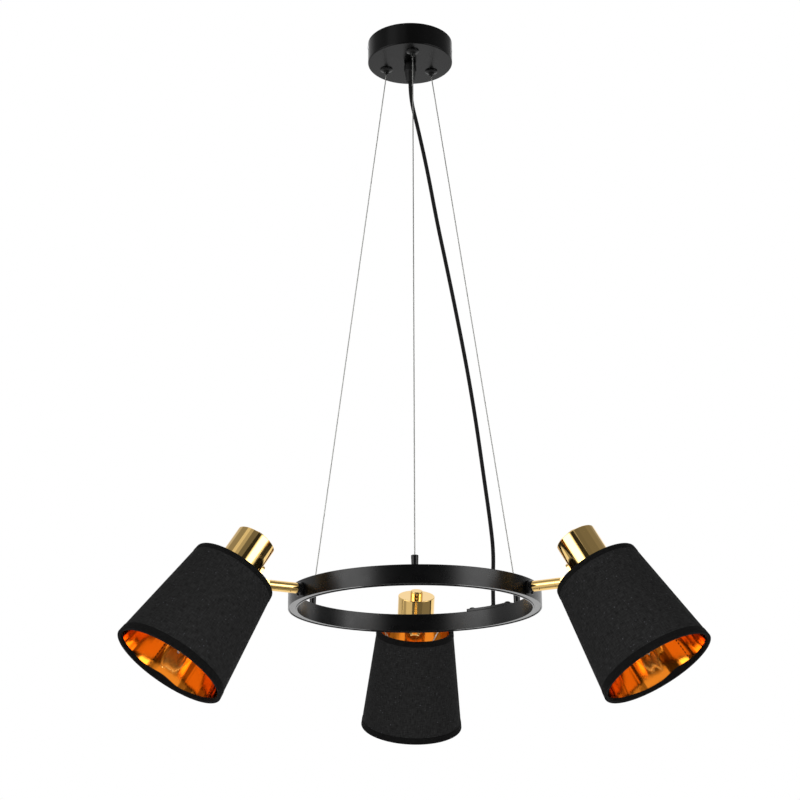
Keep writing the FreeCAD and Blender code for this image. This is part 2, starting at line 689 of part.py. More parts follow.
def arm_parts(side):
    frame = arm_frame(side)
    bore = "(arm_radius - arm_wall)"
    inner_end = "ring_radius - arm_insert"
    screw_at = f"{SHOULDER} - arm_screw_offset"
    tube = turned("tube", [(bore, inner_end), ("arm_radius", inner_end),
                           ("arm_radius", SHOULDER), (bore, SHOULDER)])
    facing = f"{ARM_SCREW_SIDES[side]} * arm_screw_angle"
    screw_hole = cylinder("screw_radius + seat_gap / 2", "arm_radius * 2", turn("z", facing),
                          shift(z=screw_at), turn("y", "90"))
    subpart(f"arm_tube_{side}", put(cut(tube, screw_hole), frame))

    stem = cylinder(f"{bore} - seat_gap / 2", "fork_stem + pivot_reach / 2",
                    shift(z=f"{SHOULDER} - fork_stem"))
    block = cylinder("arm_radius", "pivot_reach", shift(z=SHOULDER))
    eye = cylinder("arm_radius", f"{CHEEK} * 2", shift(y=CHEEK, z=PIVOT), turn("x", "90"))
    reach = "arm_radius * 2"
    slot = box(f"{reach} * 2", "slot_width", f"{reach} + slot_floor",
               shift(x=f"-{reach}", y="-slot_width / 2", z=f"{PIVOT} - slot_floor"))
    flats = [box(f"{reach} * 2", reach, f"{reach} + fork_flat",
                 shift(x=f"-{reach}", y=start, z=f"{PIVOT} - fork_flat"))
             for start in (CHEEK, f"-({CHEEK} + {reach})")]
    lead_way = cylinder("fork_bore", "fork_stem * 2 + pivot_reach", shift(z=f"{SHOULDER} - fork_stem * 2"))
    pin_way = cylinder("pin_radius + pin_clearance", f"{CHEEK} * 4",
                       shift(y=f"{CHEEK} * 2", z=PIVOT), turn("x", "90"))
    grub_way = cylinder("screw_radius + seat_gap / 2", "arm_radius * 2", turn("z", facing),
                        shift(z=screw_at), turn("y", "90"), shift(z="fork_bore + grub_floor"))
    fork = cut(fused(stem, block, eye), slot, *flats, lead_way, pin_way, grub_way)
    subpart(f"knuckle_fork_{side}", put(fork, frame))

    pin = turned("pin", [
        ("0", f"-({CHEEK} + pin_head)"), ("pin_radius", f"-({CHEEK} + pin_head)"),
        ("pin_radius", CHEEK), ("pin_head_radius", CHEEK),
        ("pin_head_radius", f"{CHEEK} + pin_head * 0.6"),
        ("pin_head_radius * 0.6", f"{CHEEK} + pin_head"), ("0", f"{CHEEK} + pin_head")])
    put(pin, frame, shift(z=PIVOT), turn("x", "90"))
    nut = hex_nut("pin_head_radius", "pin_radius + seat_gap", "pin_head")
    put(nut, frame, shift(y=f"{CHEEK} + pin_head", z=PIVOT), turn("x", "90"))
    grub_start = "fork_bore + grub_floor + seat_gap"
    grub = cylinder("screw_radius", f"arm_radius - ({grub_start})", frame, turn("z", facing),
                    shift(z=screw_at), turn("y", "90"), shift(z=grub_start))
    subpart(f"arm_screws_{side}", group(pin, nut, grub))


# Heads: everything that tilts about a pivot

def knuckle_tongue(side):
    frame = head_frame(side)
    wall = "(axis_offset - cup_radius)"
    low, high = "(plate_bottom - pivot_height)", "(plate_top - pivot_height)"
    deep = "plate_sheet + plate_seat"
    half = "plate_width / 2"
    plate = box(deep, "plate_width", f"{high} - {half} - {low}",
                shift(x=f"{wall} - plate_sheet", y=f"-{half}", z=low))
    rounded = cylinder(half, deep, shift(x=f"{wall} - plate_sheet", z=f"{high} - {half}"), turn("y", "90"))
    eye = cylinder("tongue_radius", "slot_width - tongue_side_gap * 2",
                   shift(y="slot_width / 2 - tongue_side_gap"), turn("x", "90"))
    neck = box(wall, "slot_width - tongue_side_gap * 2", f"tongue_radius - {low}",
               shift(y="-(slot_width / 2 - tongue_side_gap)", z=low))
    hole = cylinder("pin_radius + pin_clearance", "slot_width * 2", shift(y="slot_width"), turn("x", "90"))
    cup_space = cylinder("cup_radius + seat_gap / 2", "plate_top * 2", shift(x="axis_offset", z="-plate_top"))
    screw_way = cylinder("screw_radius + screw_clearance", "plate_sheet * 3",
                         shift(x=f"{wall} - plate_sheet * 2", z="plate_screw_at - pivot_height"),
                         turn("y", "90"))
    tongue = cut(fused(plate, rounded, eye, neck), hole, cup_space, screw_way)
    subpart(f"knuckle_tongue_{side}", put(tongue, frame))


def cup_parts(side):
    frame = lamp_frame(side)
    inside = "cup_radius - cup_wall"
    shell = turned("shell", [
        ("stud_radius + seat_gap", "cup_top"), ("cup_radius - cup_edge", "cup_top"),
        ("cup_radius", "cup_top - cup_edge"), ("cup_radius", "cup_bottom"), (inside, "cup_bottom"),
        (inside, "cup_top - cup_wall"), ("stud_radius + seat_gap", "cup_top - cup_wall")])
    screw_way = cylinder("screw_radius + screw_clearance", "cup_wall * 6",
                         shift(x="-(cup_radius + cup_wall * 2)", z="plate_screw_at"), turn("y", "90"))
    subpart(f"cup_{side}", put(cut(shell, screw_way), frame))

    screw = dome_screw("plate_sheet + cup_wall + screw_tail")
    put(screw, frame, shift(x="-(cup_radius + plate_sheet)", z="plate_screw_at"), turn("y", "-90"))
    subpart(f"cup_screw_{side}", screw)

    nut = turned("nut", [
        ("0", "finial_height"), ("finial_radius - finial_edge", "finial_height"),
        ("finial_radius", "finial_height - finial_edge"), ("finial_radius", "0"),
        ("stud_radius + seat_gap / 2", "0"), ("stud_radius + seat_gap / 2", "stud_height + end_gap"),
        ("0", "stud_height + end_gap")])
    subpart(f"finial_nut_{side}", put(nut, frame, shift(z="cup_top")))

    ceiling = "cup_top - cup_wall"
    bore = "cap_radius + cap_clearance"
    seat = "-(spider_depth - hub_sheet / 2 - seat_gap / 2)"
    mouth = f"{seat} - skirt_length"
    crown = "cap_top + cap_clearance - bulb_seat"
    web = "-bulb_seat + socket_web"
    holder = turned("holder", [
        ("skirt_mouth_radius", mouth), ("skirt_radius", mouth), ("skirt_radius", seat),
        ("flange_radius", seat), ("flange_radius", f"{seat} + flange_height"),
        ("holder_radius", f"{seat} + flange_height"),
        ("holder_radius", "holder_top - holder_shoulder"), ("holder_radius * 0.7", "holder_top"),
        ("stud_radius", "holder_top"), ("stud_radius", f"{ceiling} - stop_height"),
        ("stop_radius", f"{ceiling} - stop_height"), ("stop_radius", ceiling), ("stud_radius", ceiling),
        ("stud_radius", "cup_top + stud_height"), ("stud_bore", "cup_top + stud_height"),
        ("stud_bore", "holder_top - holder_wall"),
        ("holder_radius * 0.7 - holder_wall", "holder_top - holder_wall"),
        ("holder_radius - holder_wall", "holder_top - holder_shoulder - holder_wall / 2"),
        ("holder_radius - holder_wall", web), (f"{bore} + socket_wall", web),
        (f"{bore} + socket_wall", f"{crown} + socket_wall"), ("0", f"{crown} + socket_wall"), ("0", crown),
        (bore, crown), (bore, "-bulb_seat"), ("skirt_mouth_radius", "-bulb_seat")])
    subpart(f"lampholder_{side}", put(holder, frame))

    seat = "-(spider_depth + hub_sheet / 2 + seat_gap / 2)"
    nut = turned("ring_nut", [
        ("skirt_radius + seat_gap", seat), ("ring_nut_radius", seat),
        ("ring_nut_radius", f"{seat} - ring_nut_rim"),
        ("ring_nut_radius - ring_nut_step", f"{seat} - ring_nut_height"),
        ("skirt_radius + seat_gap", f"{seat} - ring_nut_height")])
    subpart(f"shade_ring_{side}", put(nut, frame))


def bulb_solid(inset):
    """A candle shape: a neck, a swelling belly and a tapering tip, all drawn in by the inset."""
    neck = size("cap_radius") - size("cap_sheet") - size("bulb_neck_gap") - inset
    widest = size("bulb_radius") - inset
    tip = size("bulb_tip_radius") - inset
    tip_depth = size("bulb_tip_depth")
    belly, foot, start = -size("bulb_belly"), -(size("bulb_tip") - tip_depth - inset), size("cap_bottom")

    def swell(radius, height):
        """Arc from the widest point to an end, upright at the widest point."""
        deep, far = widest - radius, height - belly
        bend = (deep * deep + far * far) / (2 * deep)
        half = math.asin(far / bend) / 2
        return FreeCAD.Vector(widest - bend * (1 - math.cos(half)), 0, belly + bend * math.sin(half))

    corner = [FreeCAD.Vector(0, 0, size("bulb_neck")), FreeCAD.Vector(neck, 0, size("bulb_neck")),
              FreeCAD.Vector(neck, 0, start), FreeCAD.Vector(widest, 0, belly), FreeCAD.Vector(tip, 0, foot),
              FreeCAD.Vector(0, 0, foot - tip_depth)]
    edges = [Part.LineSegment(corner[0], corner[1]), Part.LineSegment(corner[1], corner[2]),
             Part.Arc(corner[2], swell(neck, start), corner[3]),
             Part.Arc(corner[3], swell(tip, foot), corner[4]),
             Part.LineSegment(corner[4], corner[5]), Part.LineSegment(corner[5], corner[0])]
    face = Part.Face(Part.Wire([edge.toShape() for edge in edges]))
    return face.revolve(FreeCAD.Vector(0, 0, 0), FreeCAD.Vector(0, 0, 1), 360)


def bulb_parts(side):
    frame = chain(lamp_frame(side), shift(z="-bulb_seat"))
    inside, crown = "cap_radius - cap_sheet", "cap_top - cap_crown + cap_button"
    cap = turned("cap", [
        ("0", "cap_top"), ("cap_radius * 0.45", "cap_top"), ("cap_radius * 0.65", crown),
        ("cap_radius", "cap_top - cap_crown"), ("cap_radius", "cap_bottom"), (inside, "cap_bottom"),
        (inside, "cap_top - cap_crown - cap_sheet"), ("cap_radius * 0.6", f"{crown} - cap_sheet"),
        ("0", f"{crown} - cap_sheet")])
    subpart(f"bulb_cap_{side}", put(cap, frame))

    glass = bulb_solid(0).cut(bulb_solid(size("bulb_wall")))
    wall, base = size("bulb_wall"), size("bulb_neck")
    neck = size("cap_radius") - size("cap_sheet") - size("bulb_neck_gap") - wall
    opening = Part.makeCylinder(neck, wall * 4, FreeCAD.Vector(0, 0, base - wall * 2))
    envelope = put(made("glass", glass.cut(opening)), frame)

    tip, tip_radius, wire = size("stem_tip"), size("stem_tip_radius"), size("filament_wire")
    stem = Part.makeCone(neck - size("end_gap"), tip_radius, base + tip, FreeCAD.Vector(0, 0, base),
                         FreeCAD.Vector(0, 0, -1))
    reach, deep = size("filament_reach"), -size("filament_depth")
    ends = [FreeCAD.Vector(sign * reach, 0, deep) for sign in (-1, 1)]
    legs = [rod([FreeCAD.Vector(0, 0, tip_radius - tip), end], wire) for end in ends]
    coil = rod([ends[0], FreeCAD.Vector(0, 0, deep - size("filament_sag")), ends[1]], wire)
    mount = stem.fuse(legs + [coil]).removeSplitter()
    subpart(f"bulb_glass_{side}", group(envelope, put(made("mount", mount), frame)))


def wall_at(depth, inset="0"):
    """Radius of the shade at a depth below its top, drawn in from the trim's outer face."""
    spread = "(shade_mouth_radius - shade_top_radius)"
    return f"(shade_top_radius + {spread} * ({depth}) / shade_height - ({inset}))"


def shade_parts(side):
    frame = lamp_frame(side)
    wire_depth = "(hem_sheet + lining_gap + frame_wire)"
    hem = "shade_wall + lining_gap * 4 + frame_wire * 2 + hem_sheet"
    bottom = "shade_height"
    lip_top, lip_bottom = wall_at("0", hem), wall_at(bottom, hem)
    trim_start = "shade_height - trim_bottom"
    fabric = turned("fabric", [
        (wall_at("0"), "0"), (wall_at("trim_top"), "-trim_top"),
        (wall_at("trim_top", "trim_proud"), "-trim_top"),
        (wall_at(trim_start, "trim_proud"), f"-({trim_start})"),
        (wall_at(trim_start), f"-({trim_start})"), (wall_at(bottom), "-shade_height"),
        (lip_bottom, "-shade_height"), (lip_bottom, "-(shade_height - hem_lip)"),
        (f"{lip_bottom} + hem_sheet", "-(shade_height - hem_lip)"),
        (f"{lip_bottom} + hem_sheet", "-(shade_height - hem_sheet)"),
        (wall_at("shade_height - hem_sheet", "shade_wall"), "-(shade_height - hem_sheet)"),
        (wall_at("hem_sheet", "shade_wall"), "-hem_sheet"), (f"{lip_top} + hem_sheet", "-hem_sheet"),
        (f"{lip_top} + hem_sheet", "-hem_lip"), (lip_top, "-hem_lip"), (lip_top, "0")])

    ring_radius = wall_at("0", "shade_wall + lining_gap + frame_wire")
    mouth_depth = f"(shade_height - {wire_depth})"
    mouth_radius = wall_at(mouth_depth, "shade_wall + lining_gap + frame_wire")
    across, down = f"({ring_radius} - hub_rim + spider_wire)", f"(spider_depth - {wire_depth})"

    def spider_arm(number, wire):
        return cylinder(wire, f"sqrt({across} * {across} + {down} * {down})",
                        turn("z", f"spider_angle + {120 * number}"),
                        shift(x=ring_radius, z=f"-{wire_depth}"), turn("y", f"atan2(-{across}; -{down})"))

    slots = [spider_arm(number, "spider_wire + slot_clearance") for number in range(3)]
    subpart(f"shade_{side}", put(cut(fabric, *slots), frame))

    arms = [spider_arm(number, "spider_wire") for number in range(3)]
    top_ring = torus(ring_radius, "frame_wire", shift(z=f"-{wire_depth}"))
    eye = "skirt_radius + slot_clearance"
    upper, lower = "hub_sheet / 2 - spider_depth", "-(hub_sheet / 2 + spider_depth)"
    hub = turned("hub", [(eye, lower), ("hub_rim", lower), ("hub_rim", upper), (eye, upper)])
    mouth_ring = torus(mouth_radius, "frame_wire", shift(z=f"-{mouth_depth}"))
    subpart(f"shade_frame_{side}", put(group(fused(top_ring, hub, *arms), mouth_ring), frame))

    skin = "shade_wall + lining_gap"
    lining = turned("lining", [
        (wall_at("lining_end", skin), "-lining_end"),
        (wall_at("shade_height - lining_end", skin), "-(shade_height - lining_end)"),
        (wall_at("shade_height - lining_end", f"{skin} + lining_sheet"), "-(shade_height - lining_end)"),
        (wall_at("lining_end", f"{skin} + lining_sheet"), "-lining_end")])
    subpart(f"shade_lining_{side}", put(lining, frame))


ceiling_parts()
suspension_wires()
power_cord()
ring_parts()
inner_wiring()
for side in HEADS:
    collar(side)
    arm_parts(side)
    knuckle_tongue(side)
    cup_parts(side)
    bulb_parts(side)
    shade_parts(side)

doc.recompute()
failed = [item.Label for item in doc.Objects if "Invalid" in item.State or "Error" in item.State]
if failed:
    raise RuntimeError(f"features not built: {failed}")
for item in subparts:
    if item.Shape.isNull() or not item.Shape.isValid() or item.Shape.Volume <= 0:
        raise RuntimeError(f"sub-part without a valid solid: {item.Label}")

os.makedirs("parts", exist_ok=True)
for item in subparts:
    item.Shape.exportStep(f"parts/{item.Label}.step")
print(len(subparts), "sub-parts,", sum(len(item.Shape.Solids) for item in subparts), "solids")
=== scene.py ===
import json
import math

import bmesh
import bpy
from mathutils import Matrix, Vector, noise


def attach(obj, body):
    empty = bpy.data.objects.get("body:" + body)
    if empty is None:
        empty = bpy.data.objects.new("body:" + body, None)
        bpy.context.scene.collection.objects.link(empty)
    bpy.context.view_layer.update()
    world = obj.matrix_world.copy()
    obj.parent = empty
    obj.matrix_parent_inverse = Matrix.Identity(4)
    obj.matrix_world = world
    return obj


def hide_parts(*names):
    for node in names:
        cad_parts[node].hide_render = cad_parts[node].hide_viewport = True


# Ring pendant lamp with three tilting shades. Lengths are in millimetres and become metres
# where a shape is put in its place.

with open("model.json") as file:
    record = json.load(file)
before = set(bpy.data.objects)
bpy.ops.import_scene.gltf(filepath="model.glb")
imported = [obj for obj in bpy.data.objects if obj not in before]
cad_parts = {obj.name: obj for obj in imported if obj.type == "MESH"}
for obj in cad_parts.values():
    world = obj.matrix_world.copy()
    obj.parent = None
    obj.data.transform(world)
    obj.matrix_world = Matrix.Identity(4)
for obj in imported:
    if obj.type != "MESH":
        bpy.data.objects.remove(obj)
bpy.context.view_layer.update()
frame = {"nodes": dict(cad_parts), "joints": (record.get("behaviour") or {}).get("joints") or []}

MM = 0.001
HEM_SEED = 11
SIDES = {"left": 210.0, "right": 330.0, "back": 90.0}
WIRE_AZIMUTHS = (270.0, 150.0, 30.0)

# Cord, screws and the gaps between seated pieces
CORD_RADIUS = 2.5
CORD_BORE = CORD_RADIUS + 0.1
CORD_PLANE = 47.4
SMALL_SCREW = 1.5
SEAT_GAP = 0.1
END_GAP = 0.3

# Canopy
CANOPY_RADIUS = 55.1
CANOPY_HEIGHT = 29.2
CANOPY_WALL = 1.2
CANOPY_TURN = 5.7
GRIPPER_PITCH = 34.3
GRIPPER_DROP = 7.4
GRIPPER_STEM = 8.0
GRIP_LENGTH = 27.0

# Ring
HANG_HEIGHT = 713.1
RING_LEVEL = -(CANOPY_HEIGHT + HANG_HEIGHT)
RING_RADIUS = 150.0
RING_WIDTH = 11.0
RING_HEIGHT = 21.7
RING_WALL = 1.5
RING_INNER = RING_RADIUS - RING_WIDTH
RING_MIDDLE = RING_RADIUS - RING_WIDTH / 2
RING_TOP = RING_HEIGHT / 2
COVER_SHEET = 3.2
COVER_CENTRE = 48.8
COVER_SWEEP = 26.6
BUSH_HEIGHT = 1.5
FERRULE_HEIGHT = 11.3
FERRULE_FLOOR = 4.0

# Arms and heads
ARM_RADIUS = 6.2
ARM_SCREW_ANGLES = {"left": 35.0, "right": -35.0, "back": 35.0}
AXIS_OFFSET = 36.5
PIVOT_HEIGHT = 10.5
CUP_RADIUS = 23.9
CUP_TOP = 46.5
STUD_BORE = 5.1
SHADE_TOP = 50.5
SHADE_MOUTH = 66.8
SHADE_HEIGHT = 133.0
SEAM_HEADING = {"left": -88.0, "right": 72.0, "back": -88.0}
SPIDER_DEPTH = 42.0
SPIDER_TURN = 72.0
HUB_RIM = 18.0
HUB_SHEET = 2.0
BULB_SEAT = 44.0

SIDEWAYS = Matrix.Rotation(math.radians(90), 4, "Y")

joints = {joint["name"]: joint for joint in frame["joints"]}


# Places: each gives the matrix that carries a shape in millimetres to its seat on the lamp

def axes(across, beside, along, origin):
    """A frame from three directions and an origin in millimetres."""
    facing = Matrix((across, beside, along)).transposed().to_4x4()
    return Matrix.Translation(Vector(origin)) @ facing


def spin_z(angle):
    return Matrix.Rotation(math.radians(angle), 4, "Z")


def shift(x=0.0, y=0.0, z=0.0):
    return Matrix.Translation((x, y, z))


def ring_place(azimuth=0.0, out=0.0, up=0.0):
    return shift(z=RING_LEVEL) @ spin_z(azimuth) @ shift(x=out, z=up)


def arm_place(side):
    """Local Z runs out along the arm and local X points down."""
    return ring_place(SIDES[side]) @ SIDEWAYS


def head_place(side):
    """The centre of the shade's top opening: Z up the head's axis, X away from the ring."""
    tilt = joints[f"head_{side}_tilt"]
    outward = Vector(joints[f"arm_{side}_swivel"]["axis"]).normalized()
    beside = -Vector(tilt["axis"]).normalized()
    upright = outward.cross(beside)
    lean = math.radians(-tilt["range_deg"][0])
    away = outward * math.cos(lean) + upright * math.sin(lean)
    along = upright * math.cos(lean) - outward * math.sin(lean)
    pivot = Vector(tilt["pos_m"]) / MM
    return axes(away, beside, along, pivot + away * AXIS_OFFSET - along * PIVOT_HEIGHT)


# Shapes

def wire(bm, corners, closed):
    """A chain of edges through (radius, height) corners. A third number rounds that corner."""
    verts = [bm.verts.new((corner[0], 0.0, corner[1])) for corner in corners]
    for first, second in zip(verts, verts[1:]):
        bm.edges.new((first, second))
    if closed:
        bm.edges.new((verts[-1], verts[0]))
    for vert, corner in zip(verts, corners):
        if len(corner) == 3:
            bmesh.ops.bevel(bm, geom=[vert], offset=corner[2], segments=4, profile=0.5, affect="VERTICES",
                            clamp_overlap=True, material=-1)


def wrap(bm, radius):
    """A UV map in metres round and along the turned shape."""
    layer = bm.loops.layers.uv.new("wrap")
    for face in bm.faces:
        middle = face.calc_center_median()
        heading = math.atan2(middle.y, middle.x)
        for loop in face.loops:
            spot = loop.vert.co
            angle = math.atan2(spot.y, spot.x)
            angle += round((heading - angle) / math.tau) * math.tau
            loop[layer].uv = (angle * radius * MM, spot.z * MM)


def turned(corners, turns=96, sweep=360.0, uv_radius=None, deform=None):
    """A bmesh made by turning a profile about Z, in millimetres."""
    bm = bmesh.new()
    closed = corners[0][0] > 0 or corners[-1][0] > 0
    wire(bm, corners, closed)
    if sweep < 360.0:
        bmesh.ops.contextual_create(bm, geom=bm.edges[:])
        bmesh.ops.rotate(bm, verts=bm.verts, cent=(0, 0, 0),
                         matrix=Matrix.Rotation(math.radians(-sweep / 2), 3, "Z"))
    bmesh.ops.spin(bm, geom=bm.verts[:] + bm.edges[:] + bm.faces[:], cent=(0, 0, 0), axis=(0, 0, 1),
                   angle=math.radians(sweep), steps=turns, use_merge=sweep == 360.0, use_duplicate=False)
    bmesh.ops.remove_doubles(bm, verts=bm.verts, dist=1e-4)
    bmesh.ops.recalc_face_normals(bm, faces=bm.faces)
    if uv_radius:
        wrap(bm, uv_radius)
    if deform:
        for vert in bm.verts:
            vert.co = deform(vert.co)
    return bm


def rod_mesh(start, end, radius, sides=16):
    """A bmesh of a straight rod between two points in millimetres."""
    bm = bmesh.new()
    run = Vector(end) - Vector(start)
    bmesh.ops.create_cone(bm, cap_ends=True, segments=sides, radius1=radius, radius2=radius, depth=run.length)
    aim = Vector((0, 0, 1)).rotation_difference(run).to_matrix().to_4x4()
    bm.transform(Matrix.Translation((Vector(start) + Vector(end)) / 2) @ aim)
    return bm


def piece(name, shapes, place=None):
    """One object in metres from one or more bmeshes in millimetres."""
    if not isinstance(shapes, list):
        shapes = [shapes]
    mesh = bpy.data.meshes.new(name)
    whole = bmesh.new()
    for shape in shapes:
        part = bpy.data.meshes.new("part")
        shape.to_mesh(part)
        shape.free()
        whole.from_mesh(part)
        bpy.data.meshes.remove(part)
    whole.transform(Matrix.Scale(MM, 4) @ (place or Matrix.Identity(4)))
    whole.to_mesh(mesh)
    whole.free()
    mesh.shade_smooth()
    obj = bpy.data.objects.new(name, mesh)
    bpy.context.collection.objects.link(obj)
    obj.modifiers.new("weighted", "WEIGHTED_NORMAL").keep_sharp = True
    return obj


def fit(obj, body, slot, surface, *nodes):
    """Puts a finish on a piece, says what it rides on and hides the CAD parts it stands for; the slot is not
    used.
    """
    obj.data.materials.clear()
    obj.data.materials.append(surface)
    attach(obj, body)
    if nodes:
        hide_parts(*nodes)
    return obj


def coat(node, surface):
    """A CAD part that keeps its shape gets a finish."""
    mesh = frame["nodes"][node].data
    mesh.materials.clear()
    mesh.materials.append(surface)


# Shared effects for the materials

def new_group(name, inputs, outputs):
    """An empty shader node group with its named sockets, and its two end nodes."""
    group = bpy.data.node_groups.new(name, "ShaderNodeTree")
    for label, kind, value in inputs:
        socket = group.interface.new_socket(name=label, in_out="INPUT", socket_type=kind)
        if value is not None:
            socket.default_value = value
    for label, kind in outputs:
        group.interface.new_socket(name=label, in_out="OUTPUT", socket_type=kind)
    return group, group.nodes.new("NodeGroupInput"), group.nodes.new("NodeGroupOutput")


def math_node(tree, operation, first, second=None, third=None):
    """One Math node on numbers or sockets; gives back its result's socket."""
    node = tree.nodes.new("ShaderNodeMath")
    node.operation = operation
    for socket, value in zip(node.inputs, (first, second, third)):
        if value is None:
            continue
        if isinstance(value, (int, float)):
            socket.default_value = value
        else:
            tree.links.new(value, socket)
    return node.outputs[0]


def cloud_group():
    """Soft uneven patches: a value between a low and a high."""
    group, source, sink = new_group(
        "cloud", [("Vector", "NodeSocketVector", None), ("Scale", "NodeSocketFloat", 40.0),
                  ("Low", "NodeSocketFloat", 0.3), ("High", "NodeSocketFloat", 0.4)],
        [("Value", "NodeSocketFloat")])
    cloud = group.nodes.new("ShaderNodeTexNoise")
    cloud.inputs["Detail"].default_value = 4.0
    group.links.new(source.outputs["Vector"], cloud.inputs["Vector"])
    group.links.new(source.outputs["Scale"], cloud.inputs["Scale"])
    spread = group.nodes.new("ShaderNodeMapRange")
    spread.inputs["From Min"].default_value = 0.3
    spread.inputs["From Max"].default_value = 0.7
    group.links.new(cloud.outputs["Fac"], spread.inputs["Value"])
    group.links.new(source.outputs["Low"], spread.inputs["To Min"])
    group.links.new(source.outputs["High"], spread.inputs["To Max"])
    group.links.new(spread.outputs["Result"], sink.inputs["Value"])
    return group


def weave_group():
    """Plain weave from a map in metres: threads over and under, with slubs."""
    group, source, sink = new_group(
        "plain_weave", [("Vector", "NodeSocketVector", None), ("Pitch", "NodeSocketFloat", 0.0006)],
        [("Height", "NodeSocketFloat"), ("Slub", "NodeSocketFloat")])
    split = group.nodes.new("ShaderNodeSeparateXYZ")
    group.links.new(source.outputs["Vector"], split.inputs[0])
    waves = []
    for axis in (0, 1):
        turns = math_node(group, "DIVIDE", split.outputs[axis], source.outputs["Pitch"])
        waves.append(math_node(group, "SINE", math_node(group, "MULTIPLY", turns, math.pi)))
    over = math_node(group, "GREATER_THAN", math_node(group, "MULTIPLY", waves[0], waves[1]), 0.0)
    ridges = [math_node(group, "ABSOLUTE", wave_value) for wave_value in waves]
    mixed = group.nodes.new("ShaderNodeMix")
    group.links.new(over, mixed.inputs["Factor"])
    group.links.new(ridges[0], mixed.inputs["A"])
    group.links.new(ridges[1], mixed.inputs["B"])
    slubs = []
    for stretch in ((900.0, 140.0, 1.0), (140.0, 900.0, 1.0)):
        mapping = group.nodes.new("ShaderNodeMapping")
        mapping.inputs["Scale"].default_value = stretch
        group.links.new(source.outputs["Vector"], mapping.inputs["Vector"])
        slub = group.nodes.new("ShaderNodeTexNoise")
        slub.inputs["Scale"].default_value = 1.0
        slub.inputs["Detail"].default_value = 2.0
        group.links.new(mapping.outputs[0], slub.inputs["Vector"])
        slubs.append(slub.outputs["Fac"])
    uneven = math_node(group, "MULTIPLY", math_node(group, "ADD", slubs[0], slubs[1]), 0.5)
    height = math_node(group, "MULTIPLY_ADD", uneven, 0.6, mixed.outputs["Result"])
    group.links.new(height, sink.inputs["Height"])
    group.links.new(uneven, sink.inputs["Slub"])
    return group


CLOUD = cloud_group()
WEAVE = weave_group()


def finish(name, **sockets):
    """A material with one Principled shader; each keyword sets one of its sockets."""
    made = bpy.data.materials.new(name)
    made.use_nodes = True
    shader = made.node_tree.nodes["Principled BSDF"]
    for socket, value in sockets.items():
        shader.inputs[socket.replace("_", " ")].default_value = value
    return made, made.node_tree, shader


def place_group(tree, group, vector, **values):
    node = tree.nodes.new("ShaderNodeGroup")
    node.node_tree = group
    tree.links.new(vector, node.inputs["Vector"])
    for socket, value in values.items():
        node.inputs[socket].default_value = value
    return node


def object_vector(tree):
    return tree.nodes.new("ShaderNodeTexCoord").outputs["Object"]


def bump(tree, shader, height, strength, distance):
    node = tree.nodes.new("ShaderNodeBump")
    node.inputs["Strength"].default_value = strength
    node.inputs["Distance"].default_value = distance
    tree.links.new(height, node.inputs["Height"])
    tree.links.new(node.outputs["Normal"], shader.inputs["Normal"])


def mottled(name, colour, metallic, low, high, patch=60.0, skin=None, **sockets):
    """Metal, paint or plastic with uneven gloss and a fine skin texture."""
    made, tree, shader = finish(name, Metallic=metallic, Base_Color=(*colour, 1.0), **sockets)
    vector = object_vector(tree)
    gloss = place_group(tree, CLOUD, vector, Scale=patch, Low=low, High=high)
    tree.links.new(gloss.outputs["Value"], shader.inputs["Roughness"])
    if skin:
        scale, strength = skin
        fine = tree.nodes.new("ShaderNodeTexNoise")
        fine.inputs["Scale"].default_value = scale
        fine.inputs["Detail"].default_value = 3.0
        tree.links.new(vector, fine.inputs["Vector"])
        bump(tree, shader, fine.outputs["Fac"], strength, 0.0002)
    return made


def woven(name, dark, light, pitch, strength, sheen, lint=0.0):
    """Cloth with a plain weave on the piece's own map, uneven yarn and specks of lint."""
    made, tree, shader = finish(name, Roughness=0.80, Specular_IOR_Level=sheen)
    vector = tree.nodes.new("ShaderNodeUVMap")
    vector.uv_map = "wrap"
    cloth = place_group(tree, WEAVE, vector.outputs["UV"], Pitch=pitch)
    tint = tree.nodes.new("ShaderNodeMix")
    tint.data_type = "RGBA"
    tint.inputs["A"].default_value = (*dark, 1.0)
    tint.inputs["B"].default_value = (*light, 1.0)
    spread = tree.nodes.new("ShaderNodeMapRange")
    spread.inputs["From Min"].default_value = 0.35
    spread.inputs["From Max"].default_value = 0.65
    tree.links.new(cloth.outputs["Slub"], spread.inputs["Value"])
    tree.links.new(spread.outputs["Result"], tint.inputs["Factor"])
    colour = tint.outputs["Result"]
    if lint:
        specks = tree.nodes.new("ShaderNodeTexNoise")
        specks.inputs["Scale"].default_value = 620.0
        specks.inputs["Detail"].default_value = 0.0
        tree.links.new(vector.outputs["UV"], specks.inputs["Vector"])
        caught = tree.nodes.new("ShaderNodeMapRange")
        caught.inputs["From Min"].default_value = 0.78
        caught.inputs["From Max"].default_value = 0.84
        tree.links.new(specks.outputs["Fac"], caught.inputs["Value"])
        fluff = tree.nodes.new("ShaderNodeMix")
        fluff.data_type = "RGBA"
        fluff.inputs["B"].default_value = (lint, lint, lint * 1.15, 1.0)
        tree.links.new(caught.outputs["Result"], fluff.inputs["Factor"])
        tree.links.new(colour, fluff.inputs["A"])
        colour = fluff.outputs["Result"]
    tree.links.new(colour, shader.inputs["Base Color"])
    bump(tree, shader, cloth.outputs["Height"], strength, pitch)
    return made


